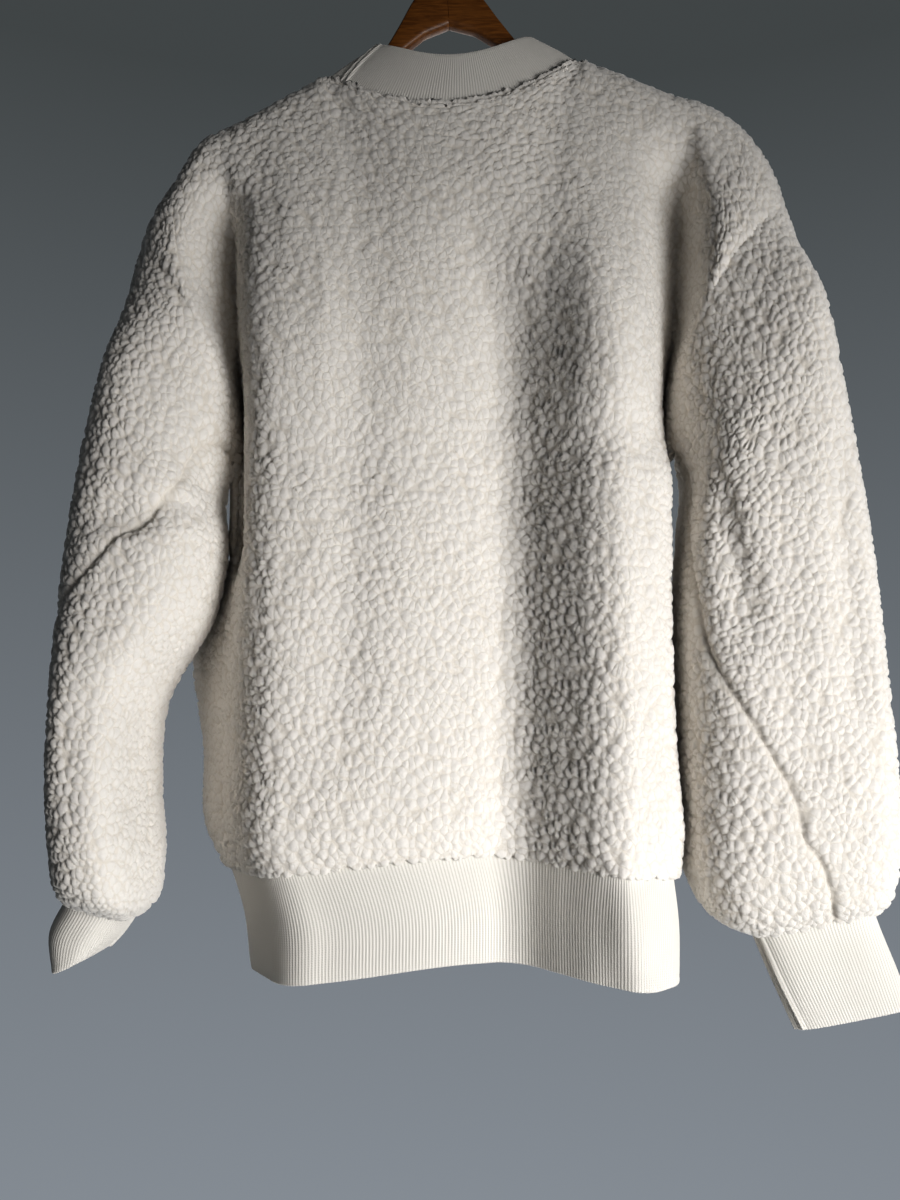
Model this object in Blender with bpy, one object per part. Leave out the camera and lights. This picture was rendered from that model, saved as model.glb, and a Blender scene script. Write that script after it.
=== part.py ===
"""A cream sherpa fleece pullover on a wooden hanger, in metres, +Z up.

The origin is the inner top of the hook, where a rail or peg carries the hanger. -Y is the side that
the back panel faces, and +X is the side of sleeve_right. The fleece is cut as a back, a front and two
sleeves; fine rib makes the neckband, the hem band and the cuffs. The pieces of fleece are read from
one surface, so that their walls meet edge to edge with only the seam gap between them.
"""

import math

import bmesh
import bpy
import numpy as np

# ---------------------------------------------------------------------------------------------
# Driving sizes
# ---------------------------------------------------------------------------------------------

MM = 0.001

FLEECE_WALL = 7.0 * MM  # knitted back and curled pile together
RIB_WALL = 2.2 * MM
RIB_RAISE = 0.45 * MM  # how far a rib stands over the groove beside it
SEAM_GAP = 0.3 * MM
BAND_GAP = 0.7 * MM  # between the fleece and a rib band, wider as the band's edge is cut finer

HANGER_TILT = math.radians(4)  # the arm on the -X side hangs lower
CLOTH_ACROSS = 8 * MM  # the garment's middle lies this far along +X from the hook
HANGER_THICKNESS = 12 * MM
HANGER_EDGE = 4.5 * MM  # radius of its rounded edges
HOOK_WIRE = 3.6 * MM
HOOK_INSIDE = 22 * MM  # radius inside the hook's bend

PANEL_COLUMNS = 30
NECK_FROM, NECK_TO = 0.3, 0.7  # shares of a panel's top edge where the neckline starts and ends
ARMHOLE_ROWS = 10
SIDE_ROWS = 11
SLEEVE_ROWS = 17
HEM_ROWS = 3
NECKBAND_ROWS = 3
CUFF_ROWS = 4
HEM_STEPS_A_COLUMN = 4  # two steps make one rib
NECKBAND_STEPS_A_COLUMN = 6
CUFF_STEPS_A_COLUMN = 4

# Heights of the two armpits and of the seam between fleece and hem band.
ARMPIT_LEFT, ARMPIT_RIGHT = -467 * MM, -452 * MM
HEM_SEAM = -755 * MM
HEM_ARCH = 13 * MM  # the hem seam rises this far in the middle
SHOULDER_ROUND = 20 * MM  # radius over the shoulder, outside

# The wooden hanger's upper edge from the middle outwards, before it is tilted, and its arms' height.
HANGER_TOP = ((0, -64), (14, -67), (26, -79), (40, -102), (57, -127), (78, -142), (105, -155), (192, -200))
HANGER_UNDER = ((0, -104), (20, -111), (105, -174), (188, -218))
TIP_ROUND = 8 * MM

# The shoulder's outer edge beyond the hanger's arm, down to the armhole: across, height.
SHOULDER_FALL_LEFT = ((-213, -238), (-229, -266), (-239, -296))
SHOULDER_FALL_RIGHT = ((236, -204), (251, -232), (260, -259))
SHOULDER_OVER_ARM = 10 * MM  # upright distance from the hanger's arm to the outside of the fleece
NECK_POINT_ALONG = 105 * MM  # where on the arm the neckline crosses it
ARM_END_ALONG = 198 * MM

# Middle of the necklines and of the neckband's top: across, towards the back, height.
BACK_NECK = (3, -39, -193)
FRONT_NECK = (3, 43, -236)
NECKBAND_TOP_MIDDLE = (3.5, 2, -146)
NECKBAND_TOP_HALF = (66, 32)

# Level sections of the fleece body. The corners are where the flat-hanging faces turn.
SECTION_COLUMNS = "height seam_left seam_left_y corner_left corner_left_y corner_right corner_right_y seam_right seam_right_y bow"
BACK_SECTIONS = (
    (-440, -158, -12, -140, -64, 156, -64, 164, -12, 3),
    (-520, -158, -10, -138, -69, 153, -69, 159, -10, 4),
    (-586, -166, -8, -136, -71, 151, -72, 157, -8, 4),
    (-676, -165, -8, -133, -71, 152, -72, 158, -8, 4),
    (-735, -160, -8, -131, -70, 156, -68, 161, -8, 3),
    (-765, -150, -6, -120, -60, 152, -60, 160, -6, 3),
)
FRONT_SECTIONS = (
    (-440, -158, -12, -146, 44, 154, 46, 164, -12, 8),
    (-520, -158, -10, -172, 56, 158, 52, 159, -10, 8),
    (-586, -166, -8, -208, 62, 163, 54, 157, -8, 8),
    (-676, -165, -8, -197, 60, 165, 54, 158, -8, 8),
    (-735, -160, -8, -192, 58, 167, 52, 161, -8, 8),
    (-765, -150, -6, -172, 46, 162, 42, 160, -6, 7),
)
BACK_BAND_SECTIONS = (
    (-764, -146, -5, -115, -56, 150, -57, 158, -6, 3),
    (-790, -143, -5, -112, -60, 151, -62, 160, -8, 4),
    (-826, -140, -5, -110, -62, 150, -65, 158, -10, 5),
)
FRONT_BAND_SECTIONS = (
    (-764, -146, -5, -162, 42, 158, 38, 158, -6, 6),
    (-790, -143, -5, -157, 44, 157, 40, 160, -8, 6),
    (-826, -140, -5, -151, 44, 153, 40, 158, -10, 6),
)
CORNER_CUT = 24 * MM
CORNER_SHARES = (0.10, 0.24, 0.78, 0.90)  # where each corner's turn starts and ends across a panel

# Folds that hang down the panels, with a negative depth for a ridge. Columns:
# panel, top across, top height, low across, low height, half width, depth inwards.
FOLDS = (
    ("back", -166, -225, -156, -460, 11, 24),
    ("back", 184, -215, 167, -450, 10, 22),
    ("back", 98, -215, 62, -470, 25, 13),
    ("back", 64, -380, 54, -900, 18, 23),
    ("back", 132, -330, 127, -900, 15, -6),
    ("back", -58, -330, -75, -700, 22, 4),
    ("back", 14, -420, 2, -720, 20, 4),
    ("front", -70, -300, -80, -900, 26, 16),
    ("front", 62, -330, 48, -900, 24, 18),
)

# Rings of the sleeves and cuffs. The first ring of a sleeve is its armhole, which the panels give.
# Columns: outer edge across, its height, inner edge across, its height, y of the near and of the far side.
LEFT_RINGS = (
    (-247, -378, -168, -494, -76, 40),
    (-259, -455, -163, -528, -90, 34),
    (-269, -550, -173, -582, -94, 34),
    (-270, -625, -207, -640, -100, 46),
    (-269, -695, -211, -702, -102, 50),
    (-267, -740, -207, -752, -94, 48),
    (-267, -764, -210, -780, -76, 38),
    (-268, -771, -217, -787, -58, 30),
)
RIGHT_RINGS = (
    (267, -330, 174, -478, -74, 40),
    (282, -420, 169, -520, -80, 38),
    (294, -520, 164, -570, -82, 36),
    (300, -615, 162, -640, -84, 36),
    (304, -695, 163, -705, -84, 36),
    (304, -745, 167, -758, -78, 32),
    (300, -772, 186, -790, -64, 20),
    (296, -780, 204, -798, -52, 4),
)
LEFT_CUFF_RINGS = (
    (-267, -777, -224, -790, -48, 22),
    (-275, -797, -232, -802, -50, 20),
    (-270, -822, -241, -811, -52, 16),
)
RIGHT_CUFF_RINGS = (
    (292, -786, 210, -800, -44, -4),
    (302, -814, 221, -829, -42, -10),
    (314, -845, 234, -860, -39, -16),
)
RING_SQUARENESS = 2.25

# Folds of the sleeves. A turn is in degrees round the sleeve from its outer edge over the near side.
# Columns: sleeve, turn and share of the sleeve's length at the fold's start, both at its end,
# half width along the ring, depth inwards.
SLEEVE_FOLDS = (
    ("left", 150, 0.20, 60, 0.42, 20, 7),
    ("left", 110, 0.55, 70, 0.95, 16, 7),
    ("left", 300, 0.30, 250, 0.90, 20, 8),
    ("right", 135, 0.15, 100, 0.60, 17, 7),
    ("right", 62, 0.25, 72, 0.80, 20, 6),
    ("right", 290, 0.25, 260, 0.90, 20, 8),
)

COLOURS = {
    "fleece": (0.83, 0.79, 0.71),
    "rib": (0.80, 0.77, 0.70),
    "wood": (0.33, 0.12, 0.03),
    "steel": (0.62, 0.62, 0.62),
}
ROUGHNESS = {"fleece": 0.95, "rib": 0.9, "wood": 0.32, "steel": 0.25}


# ---------------------------------------------------------------------------------------------
# Curves through named sizes
# ---------------------------------------------------------------------------------------------


def table(columns, rows):
    """The table's columns by name, as arrays, in the table's own units."""
    return {name: np.array(column) for name, column in zip(columns.split(), zip(*rows))}


def through(places, values, at):
    """A smooth curve through the values at these places, read at others. It ends level past its ends."""
    places = np.asarray(places, float)
    values = np.asarray(values, float)
    at = np.clip(at, places[0], places[-1])
    slopes = np.gradient(values, places, axis=0)
    span = np.clip(np.searchsorted(places, at, side="right") - 1, 0, len(places) - 2)
    step = places[span + 1] - places[span]
    share = (at - places[span]) / step
    extra = values.ndim - 1
    share = share.reshape(share.shape + (1,) * extra)
    step = step.reshape(step.shape + (1,) * extra)
    rise = share * share * (3 - 2 * share)
    leave = share * (1 - share) ** 2
    arrive = share * share * (share - 1)
    start, end = values[span], values[span + 1]
    return start + (end - start) * rise + step * (leave * slopes[span] + arrive * slopes[span + 1])


def path_through(points, at):
    """A smooth curve through points, read at shares of its length."""
    points = np.asarray(points, float)
    lengths = np.linalg.norm(np.diff(points, axis=0), axis=1)
    places = np.concatenate([[0], np.cumsum(lengths)])
    return through(places, points, np.asarray(at) * places[-1])


def ease(share):
    """0 to 1 with a level start and end."""
    share = np.clip(share, 0, 1)
    return share * share * (3 - 2 * share)


def quarter(share):
    """0 to 1 along a quarter of a circle that starts upright."""
    return np.sqrt(1 - (1 - np.clip(share, 0, 1)) ** 2)


def mix(start, end, share):
    return start + (end - start) * share


def tilted(across, height):
    """A point of the hanger's own plane, turned about the hook."""
    cosine, sine = math.cos(HANGER_TILT), math.sin(HANGER_TILT)
    return across * cosine - height * sine, across * sine + height * cosine


# ---------------------------------------------------------------------------------------------
# The body's surface
# ---------------------------------------------------------------------------------------------


def shoulder_points(side):
    """The shoulder's outer edge from the neckline to the armhole: side is -1 or 1."""
    arm = table("along height", HANGER_TOP)
    points = []
    for along in np.linspace(NECK_POINT_ALONG, ARM_END_ALONG, 4):
        height = np.interp(along, arm["along"] * MM, arm["height"] * MM) + SHOULDER_OVER_ARM
        across, height = tilted(side * along, height)
        points.append((across - CLOTH_ACROSS, 0, height))
    fall = SHOULDER_FALL_LEFT if side < 0 else SHOULDER_FALL_RIGHT
    points += [(across * MM, 0, height * MM) for across, height in fall]
    return np.array(points)


def top_edge(panel, u):
    """The panel's upper edge: left shoulder, neckline, right shoulder."""
    left, right = shoulder_points(-1), shoulder_points(1)
    middle = np.array(BACK_NECK if panel == "back" else FRONT_NECK) * MM
    edge = np.zeros(u.shape + (3,))
    on_left, on_right = u <= NECK_FROM, u >= NECK_TO
    on_neck = ~(on_left | on_right)
    edge[on_left] = path_through(left[::-1], u[on_left] / NECK_FROM)
    edge[on_right] = path_through(right, (u[on_right] - NECK_TO) / (1 - NECK_TO))
    turn = math.pi * (u[on_neck] - NECK_FROM) / (NECK_TO - NECK_FROM)
    centre = (left[0] + right[0]) / 2
    half = (right[0] - left[0]) / 2
    dip = (middle - centre) * np.array([0, 1, 1])
    drop = np.sin(turn)[:, None] ** np.array([1, 0.85, 2.1])
    edge[on_neck] = centre - np.cos(turn)[:, None] * half + drop * dip
    return edge


def level_section(sections, height, u):
    """Across and y of a panel at these heights, u running from the left side seam to the right one."""
    size = table(SECTION_COLUMNS, sections)
    levels = size.pop("height")[::-1] * MM
    read = {name: through(levels, column[::-1] * MM, height) for name, column in size.items()}
    seam_left = np.stack([read["seam_left"], read["seam_left_y"]], -1)
    corner_left = np.stack([read["corner_left"], read["corner_left_y"]], -1)
    corner_right = np.stack([read["corner_right"], read["corner_right_y"]], -1)
    seam_right = np.stack([read["seam_right"], read["seam_right_y"]], -1)

    def cut(corner, towards):
        way = towards - corner
        return corner + way / np.linalg.norm(way, axis=-1, keepdims=True) * CORNER_CUT

    def turned(start, corner, end, share):
        return mix(mix(start, corner, share), mix(corner, end, share), share)

    stops = (0, *CORNER_SHARES, 1)
    shares = [np.clip((u - a) / (b - a), 0, 1)[..., None] for a, b in zip(stops, stops[1:])]
    into_left, out_left = cut(corner_left, seam_left), cut(corner_left, corner_right)
    into_right, out_right = cut(corner_right, corner_left), cut(corner_right, seam_right)
    pieces = (
        mix(seam_left, into_left, shares[0]),
        turned(into_left, corner_left, out_left, shares[1]),
        mix(out_left, into_right, shares[2]),
        turned(into_right, corner_right, out_right, shares[3]),
        mix(out_right, seam_right, shares[4]),
    )
    found = pieces[0]
    for stop, piece in zip(stops[1:], pieces[1:]):
        found = np.where((u >= stop)[..., None], piece, found)
    across_face = np.clip((u - stops[1]) / (stops[4] - stops[1]), 0, 1)
    bow = read["bow"] * np.sin(math.pi * across_face)
    outwards = np.sign(corner_left[..., 1])
    return found[..., 0], found[..., 1] + outwards * bow


def folded(panel, u, across, height):
    """How far the panel's folds draw its surface in, for each point. They end at the side seams."""
    inwards = np.zeros(across.shape)
    for fold in FOLDS:
        named, top_across, top_height, low_across, low_height, half_width, depth = fold
        if named != panel:
            continue
        down = (top_height * MM - height) / ((top_height - low_height) * MM)
        centre = mix(top_across * MM, low_across * MM, np.clip(down, 0, 1))
        fade = ease(down / 0.3) * ease((1 - down) / 0.2)
        inwards += depth * MM * fade * np.exp(-(((across - centre) / (half_width * MM)) ** 2))
    return inwards * ease(np.minimum(u, 1 - u) / 0.05)


def hem_rise(u):
    """How far the hem's line rises across a panel."""
    return HEM_ARCH * np.exp(-(((u - 0.5) / 0.26) ** 2)) * np.sin(math.pi * u)


def body_points(panel, u, down):
    """The panel's outer surface. down runs 0 to 1 from the top edge to the armpits, and on to 2 at the hem."""
    outwards = -1 if panel == "back" else 1
    sections = BACK_SECTIONS if panel == "back" else FRONT_SECTIONS
    top = top_edge(panel, u)
    armpit = mix(ARMPIT_LEFT, ARMPIT_RIGHT, u)
    hem = HEM_SEAM + hem_rise(u)

    upper = np.clip(down, 0, 1)
    near_edge = np.minimum(u, 1 - u)
    finer = mix(1.0, 1.55, ease(near_edge / 0.12))
    fallen = upper**finer
    height = mix(top[..., 2], armpit, fallen)
    height = np.where(down > 1, mix(armpit, hem, np.clip(down - 1, 0, 1)), height)

    low_across, low_y = level_section(sections, np.minimum(height, armpit), u)
    across = mix(top[..., 0], low_across, 1 - (1 - fallen) ** 2.2)
    below_top = top[..., 2] - height
    on_ridge = np.clip(1 - np.abs(top[..., 1]) / SHOULDER_ROUND, 0, 1)
    ridge = SHOULDER_ROUND * quarter(below_top / SHOULDER_ROUND) * on_ridge
    hump = mix(38 * MM, mix(8 * MM, 15 * MM, on_ridge), ease(near_edge / 0.16))
    settled = ease(fallen)
    y = (top[..., 1] + outwards * ridge) * (1 - settled) + low_y * settled
    y = y + outwards * hump * np.sin(math.pi * fallen**0.8)
    fade = ease(below_top / (90 * MM))
    y = y - outwards * folded(panel, u, across, height) * fade
    return np.stack([across, y, height], -1)


def band_points(u_back, u_front, heights):
    """The hem band's outer surface, round the back from left to right and the front from right to left."""
    rings = []
    for share in heights:
        ring = []
        for panel, sections, u in (
            ("back", BACK_BAND_SECTIONS, u_back),
            ("front", FRONT_BAND_SECTIONS, u_front),
        ):
            level = mix(HEM_SEAM, -826 * MM, share) + np.zeros(u.shape)
            across, y = level_section(sections, level, u)
            outwards = -1 if panel == "back" else 1
            y = y - outwards * folded(panel, u, across, level)
            ring.append(np.stack([across, y, level + hem_rise(u)], -1))
        rings.append(np.concatenate([ring[0], ring[1][::-1][1:-1]]))
    return np.array(rings)


# ---------------------------------------------------------------------------------------------
# Sleeves and cuffs
# ---------------------------------------------------------------------------------------------


def ring_points(size, turn):
    """A ring from its outer edge over the near side, for each angle in turn."""
    outer, outer_height, inner, inner_height, near, far = (value * MM for value in size)
    middle = np.array([(outer + inner) / 2, (near + far) / 2, (outer_height + inner_height) / 2])
    half = np.array([(outer - inner) / 2, 0, (outer_height - inner_height) / 2])
    cosine, sine = np.cos(turn), np.sin(turn)
    power = 2 / RING_SQUARENESS
    along = np.sign(cosine) * np.abs(cosine) ** power
    over = np.sign(sine) * np.abs(sine) ** power
    return middle + along[:, None] * half + over[:, None] * np.array([0, (near - far) / 2, 0])


def tube_points(rings, at):
    """A tube through rings of equal count, read at shares of its length down each line."""
    rings = np.asarray(rings)
    lengths = np.linalg.norm(np.diff(rings, axis=0), axis=2).mean(axis=1)
    places = np.concatenate([[0], np.cumsum(lengths)])
    return through(places, rings, np.asarray(at) * places[-1])


def sleeve_points(side, armhole, rows):
    """The sleeve's outer surface from the armhole's ring to the cuff seam."""
    sizes = LEFT_RINGS if side == "left" else RIGHT_RINGS
    count = len(armhole)
    turn = 2 * math.pi * np.arange(count) / count
    rings = [armhole] + [ring_points(size, turn) for size in sizes]
    tube = tube_points(rings, rows)
    middle = tube.mean(axis=1, keepdims=True)
    outward = tube - middle
    outward /= np.linalg.norm(outward, axis=2, keepdims=True)
    girth = np.linalg.norm(np.diff(tube, axis=1, append=tube[:, :1]), axis=2).sum(axis=1)
    for fold in SLEEVE_FOLDS:
        named, turn_from, share_from, turn_to, share_to, half_width, depth = fold
        if named != side:
            continue
        along = (rows - share_from) / (share_to - share_from)
        centre = np.radians(mix(turn_from, turn_to, np.clip(along, 0, 1)))
        away = (turn[None] - centre[:, None] + math.pi) % (2 * math.pi) - math.pi
        distance = away / (2 * math.pi) * girth[:, None]
        fade = (ease(along / 0.35) * ease((1 - along) / 0.35))[:, None]
        inwards = depth * MM * fade * np.exp(-((distance / (half_width * MM)) ** 2))
        tube = tube - outward * inwards[..., None]
    return tube


# ---------------------------------------------------------------------------------------------
# Walls
# ---------------------------------------------------------------------------------------------


def face_normals(points, closed, turned):
    """Each grid cell's normal, as long as its area, pointing out of the garment."""
    if closed:
        points = np.concatenate([points, points[:, :1]], axis=1)
    first, second = points[1:, 1:] - points[:-1, :-1], points[:-1, 1:] - points[1:, :-1]
    return np.cross(first, second) * (0.5 * turned)


def shared_normals(grids):
    """Normals at every grid's points. Points that two or more grids have in common get one normal."""
    places, normals, shapes = [], [], []
    for points, closed, turned in grids:
        cells = face_normals(points, closed, turned)
        total = np.zeros(points.shape)
        columns = points.shape[1]
        right = (np.arange(cells.shape[1]) + 1) % columns
        for row_shift in (0, 1):
            rows = slice(row_shift, row_shift + cells.shape[0])
            total[rows, : cells.shape[1]] += cells
            np.add.at(total, (np.arange(rows.start, rows.stop)[:, None], right[None]), cells)
        places.append(points.reshape(-1, 3))
        normals.append(total.reshape(-1, 3))
        shapes.append(points.shape)
    keys = np.round(np.concatenate(places) / (0.01 * MM)).astype(np.int64)
    _, index = np.unique(keys, axis=0, return_inverse=True)
    index = index.reshape(-1)
    summed = np.zeros((index.max() + 1, 3))
    np.add.at(summed, index, np.concatenate(normals))
    summed /= np.linalg.norm(summed, axis=1, keepdims=True)
    flat = summed[index]
    found, start = [], 0
    for shape in shapes:
        count = shape[0] * shape[1]
        found.append(flat[start : start + count].reshape(shape))
        start += count
    return found


def drawn_back(points, rows=(), columns=()):
    """The grid with these edge rows and columns drawn into it by half a seam gap."""
    points = points.copy()

    def draw(edge, inside):
        way = inside - edge
        return edge + way / np.linalg.norm(way, axis=-1, keepdims=True) * (SEAM_GAP / 2)

    for row in rows:
        points[row] = draw(points[row], points[1 if row == 0 else row - 1])
    for column in columns:
        points[:, column] = draw(points[:, column], points[:, 1 if column == 0 else column - 1])
    return points


def spread(points, steps):
    """The grid with each cell cut into steps across, all round."""
    after = np.roll(points, -1, axis=1)
    shares = np.arange(steps) / steps
    finer = points[:, :, None] + (after - points)[:, :, None] * shares[None, None, :, None]
    return finer.reshape(points.shape[0], -1, 3)


def ribbed(points, normals, steps):
    """The grid cut finer all round, with every other line raised as a rib."""
    finer = spread(points, steps)
    ways = spread(normals, steps)
    ways /= np.linalg.norm(ways, axis=2, keepdims=True)
    raised = (np.arange(finer.shape[1]) % 2)[None, :, None] * RIB_RAISE
    return finer + ways * raised


def wall_object(name, outer, inner, closed, material, collection):
    """A closed wall between two grids. The outer grid may have a whole number of columns to each inner one."""
    mesh = bmesh.new()
    along = np.array([CLOTH_ACROSS, 0, 0])
    outside = [[mesh.verts.new(point) for point in row] for row in outer + along]
    inside = [[mesh.verts.new(point) for point in row] for row in inner + along]

    def skin(grid):
        cells = len(grid[0]) if closed else len(grid[0]) - 1
        for upper, lower in zip(grid, grid[1:]):
            for column in range(cells):
                after = (column + 1) % len(upper)
                mesh.faces.new((upper[column], upper[after], lower[after], lower[column]))

    def rim_cell(first, second, under_second, under_first):
        """Two triangles that share the edge from the higher outer point, so that walls that meet agree."""
        if first.co.z > second.co.z:
            mesh.faces.new((first, second, under_second))
            mesh.faces.new((first, under_second, under_first))
        else:
            mesh.faces.new((first, second, under_first))
            mesh.faces.new((second, under_second, under_first))

    def rim(outside_line, inside_line, closed_line):
        steps = len(outside_line) // len(inside_line) if closed_line else 1
        cells = len(inside_line) if closed_line else len(inside_line) - 1
        for column in range(cells):
            after = (column + 1) % len(inside_line)
            fan = [outside_line[(column * steps + step) % len(outside_line)] for step in range(steps + 1)]
            if steps == 1:
                rim_cell(fan[0], fan[1], inside_line[after], inside_line[column])
                continue
            half = steps // 2
            for step in range(half):
                mesh.faces.new((fan[step], fan[step + 1], inside_line[column]))
            mesh.faces.new((fan[half], inside_line[after], inside_line[column]))
            for step in range(half, steps):
                mesh.faces.new((fan[step], fan[step + 1], inside_line[after]))

    skin(outside)
    skin(inside)
    rim(outside[0], inside[0], closed)
    rim(outside[-1], inside[-1], closed)
    if not closed:
        rim([row[0] for row in outside], [row[0] for row in inside], False)
        rim([row[-1] for row in outside], [row[-1] for row in inside], False)
    bmesh.ops.recalc_face_normals(mesh, faces=mesh.faces)
    return mesh_object(name, mesh, material, collection)


def mesh_object(name, mesh, material, collection):
    data = bpy.data.meshes.new(name)
    mesh.to_mesh(data)
    mesh.free()
    data.shade_smooth()
    data.set_sharp_from_angle(angle=math.radians(50))
    data.materials.append(material)
    made = bpy.data.objects.new(name, data)
    collection.objects.link(made)
    return made


def plain_material(name):
    made = bpy.data.materials.new(name)
    made.use_nodes = True
    shader = made.node_tree.nodes["Principled BSDF"]
    shader.inputs["Base Color"].default_value = (*COLOURS[name], 1)
    shader.inputs["Roughness"].default_value = ROUGHNESS[name]
    shader.inputs["Metallic"].default_value = 1 if name == "steel" else 0
    return made


# ---------------------------------------------------------------------------------------------
# The pieces
# ---------------------------------------------------------------------------------------------


def panel_grid(panel):
    u = np.linspace(0, 1, PANEL_COLUMNS + 1)
    upper = np.linspace(0, 1, ARMHOLE_ROWS + 1)
    lower = 1 + np.linspace(0, 1, SIDE_ROWS + 1)[1:]
    down = np.concatenate([upper, lower])
    u_grid, down_grid = np.meshgrid(u, down)
    return body_points(panel, u_grid, down_grid)


def armhole_ring(back, front, column):
    """The armhole's points from the shoulder down the back panel's edge and up the front's."""
    down_back = back[: ARMHOLE_ROWS + 1, column]
    up_front = front[1:ARMHOLE_ROWS, column][::-1]
    return np.concatenate([down_back, up_front])


def band_under(edge, normals, turned):
    """Where a rib band starts at the edge of a fleece wall: within the wall's depth, a gap past it."""
    along = np.roll(edge, -1, axis=0) - np.roll(edge, 1, axis=0)
    way = unit(np.cross(along, normals)) * turned
    return edge - normals * (FLEECE_WALL - RIB_WALL) + way * BAND_GAP


def unit(vectors):
    return vectors / np.linalg.norm(vectors, axis=-1, keepdims=True)


def make_fleece(fleece, collection):
    """The four fleece pieces. It gives back what the bands need: each edge, its normals and its way on."""
    back, front = panel_grid("back"), panel_grid("front")
    rows = np.linspace(0, 1, SLEEVE_ROWS + 1) ** 0.92
    left = sleeve_points("left", armhole_ring(back, front, 0), rows)
    right = sleeve_points("right", armhole_ring(back, front, -1), rows)
    grids = ((back, False, 1), (front, False, -1), (left, True, 1), (right, True, -1))
    normals = shared_normals(grids)
    names = ("back", "front", "sleeve_left", "sleeve_right")
    for name, (points, closed, _), normal in zip(names, grids, normals):
        inner = points - normal * FLEECE_WALL
        columns = () if closed else (0, points.shape[1] - 1)
        outer = drawn_back(points, rows=(0,), columns=columns)
        inner = drawn_back(inner, rows=(0,), columns=columns)
        wall_object(name, outer, inner, closed, fleece, collection)
    return dict(zip(names, zip((grid[0] for grid in grids), normals)))


def rib_band(name, rings, turned, seam_row, seam_normals, steps, rib, collection):
    """A ribbed wall through rings. At the seam it takes the normals of the fleece."""
    normals = shared_normals(((rings, True, turned),))[0]
    normals[seam_row] = seam_normals
    inner = rings - normals * RIB_WALL
    outer = ribbed(rings - normals * RIB_RAISE, normals, steps)
    wall_object(name, outer, inner, True, rib, collection)


def ring_round(fleece_pieces, row, columns):
    """Points and normals of a closed line over the back from left to right and the front back."""
    joined = []
    for kind in (0, 1):
        over_back = fleece_pieces["back"][kind][row][columns]
        over_front = fleece_pieces["front"][kind][row][columns]
        joined.append(np.concatenate([over_back, over_front[::-1][1:-1]]))
    return joined


def make_hem_band(fleece_pieces, rib, collection):
    edge, normals = ring_round(fleece_pieces, -1, slice(None))
    u = np.linspace(0, 1, PANEL_COLUMNS + 1)
    rings = band_points(u, u, np.linspace(0, 1, HEM_ROWS)[1:])
    rings = np.concatenate([band_under(edge, normals, 1)[None], rings])
    rib_band("hem_band", rings, 1, 0, normals, HEM_STEPS_A_COLUMN, rib, collection)


def neckband_top(count_half):
    """The neckband's top edge, over the back from left to right and the front back."""
    turn = math.pi - math.pi * np.arange(2 * count_half) / count_half
    half_across, half_y = (size * MM for size in NECKBAND_TOP_HALF)
    middle = np.array(NECKBAND_TOP_MIDDLE) * MM
    across = middle[0] + half_across * np.cos(turn)
    y = middle[1] - half_y * np.sin(turn)
    rise = 4 * np.cos(turn) + 21 * np.sin(turn) + 22 * np.cos(2 * turn)
    return np.stack([across, y, middle[2] + rise * MM], -1)


def make_neckband(fleece_pieces, rib, collection):
    first, last = round(NECK_FROM * PANEL_COLUMNS), round(NECK_TO * PANEL_COLUMNS)
    edge, normals = ring_round(fleece_pieces, 0, slice(first, last + 1))
    start = band_under(edge, normals, -1)
    end = neckband_top(last - first)
    middle = (start + end) / 2 + np.array([0, 0, 1.5 * MM])
    rings = through((0, 1, 2), np.array([start, middle, end]), np.linspace(0, 2, NECKBAND_ROWS))
    rib_band("neckband", rings[::-1], 1, -1, normals, NECKBAND_STEPS_A_COLUMN, rib, collection)


def make_cuff(side, fleece_pieces, rib, collection):
    points, normals = fleece_pieces[f"sleeve_{side}"]
    turned = 1 if side == "left" else -1
    start = band_under(points[-1], normals[-1], turned)
    count = points.shape[1]
    turn = 2 * math.pi * np.arange(count) / count
    sizes = LEFT_CUFF_RINGS if side == "left" else RIGHT_CUFF_RINGS
    rings = [start] + [ring_points(size, turn) for size in sizes]
    rings = np.array(rings)
    rib_band(f"cuff_{side}", rings, turned, 0, normals[-1], CUFF_STEPS_A_COLUMN, rib, collection)


def hanger_ring(along, top, under, half_thickness):
    """A rounded upright section of the hanger: two points on each flat side, three round each corner."""
    corner = min(HANGER_EDGE, half_thickness, (top - under) / 2)
    ring = []
    for across, height, turn in ((1, top, 0), (-1, top, 90), (-1, under, 180), (1, under, 270)):
        middle_y = across * (half_thickness - corner)
        middle_height = height - corner if height == top else height + corner
        for angle in np.radians((turn, turn + 45, turn + 90)):
            y = middle_y + corner * math.cos(angle)
            ring.append((along, y, middle_height + corner * math.sin(angle)))
    return ring


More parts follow.
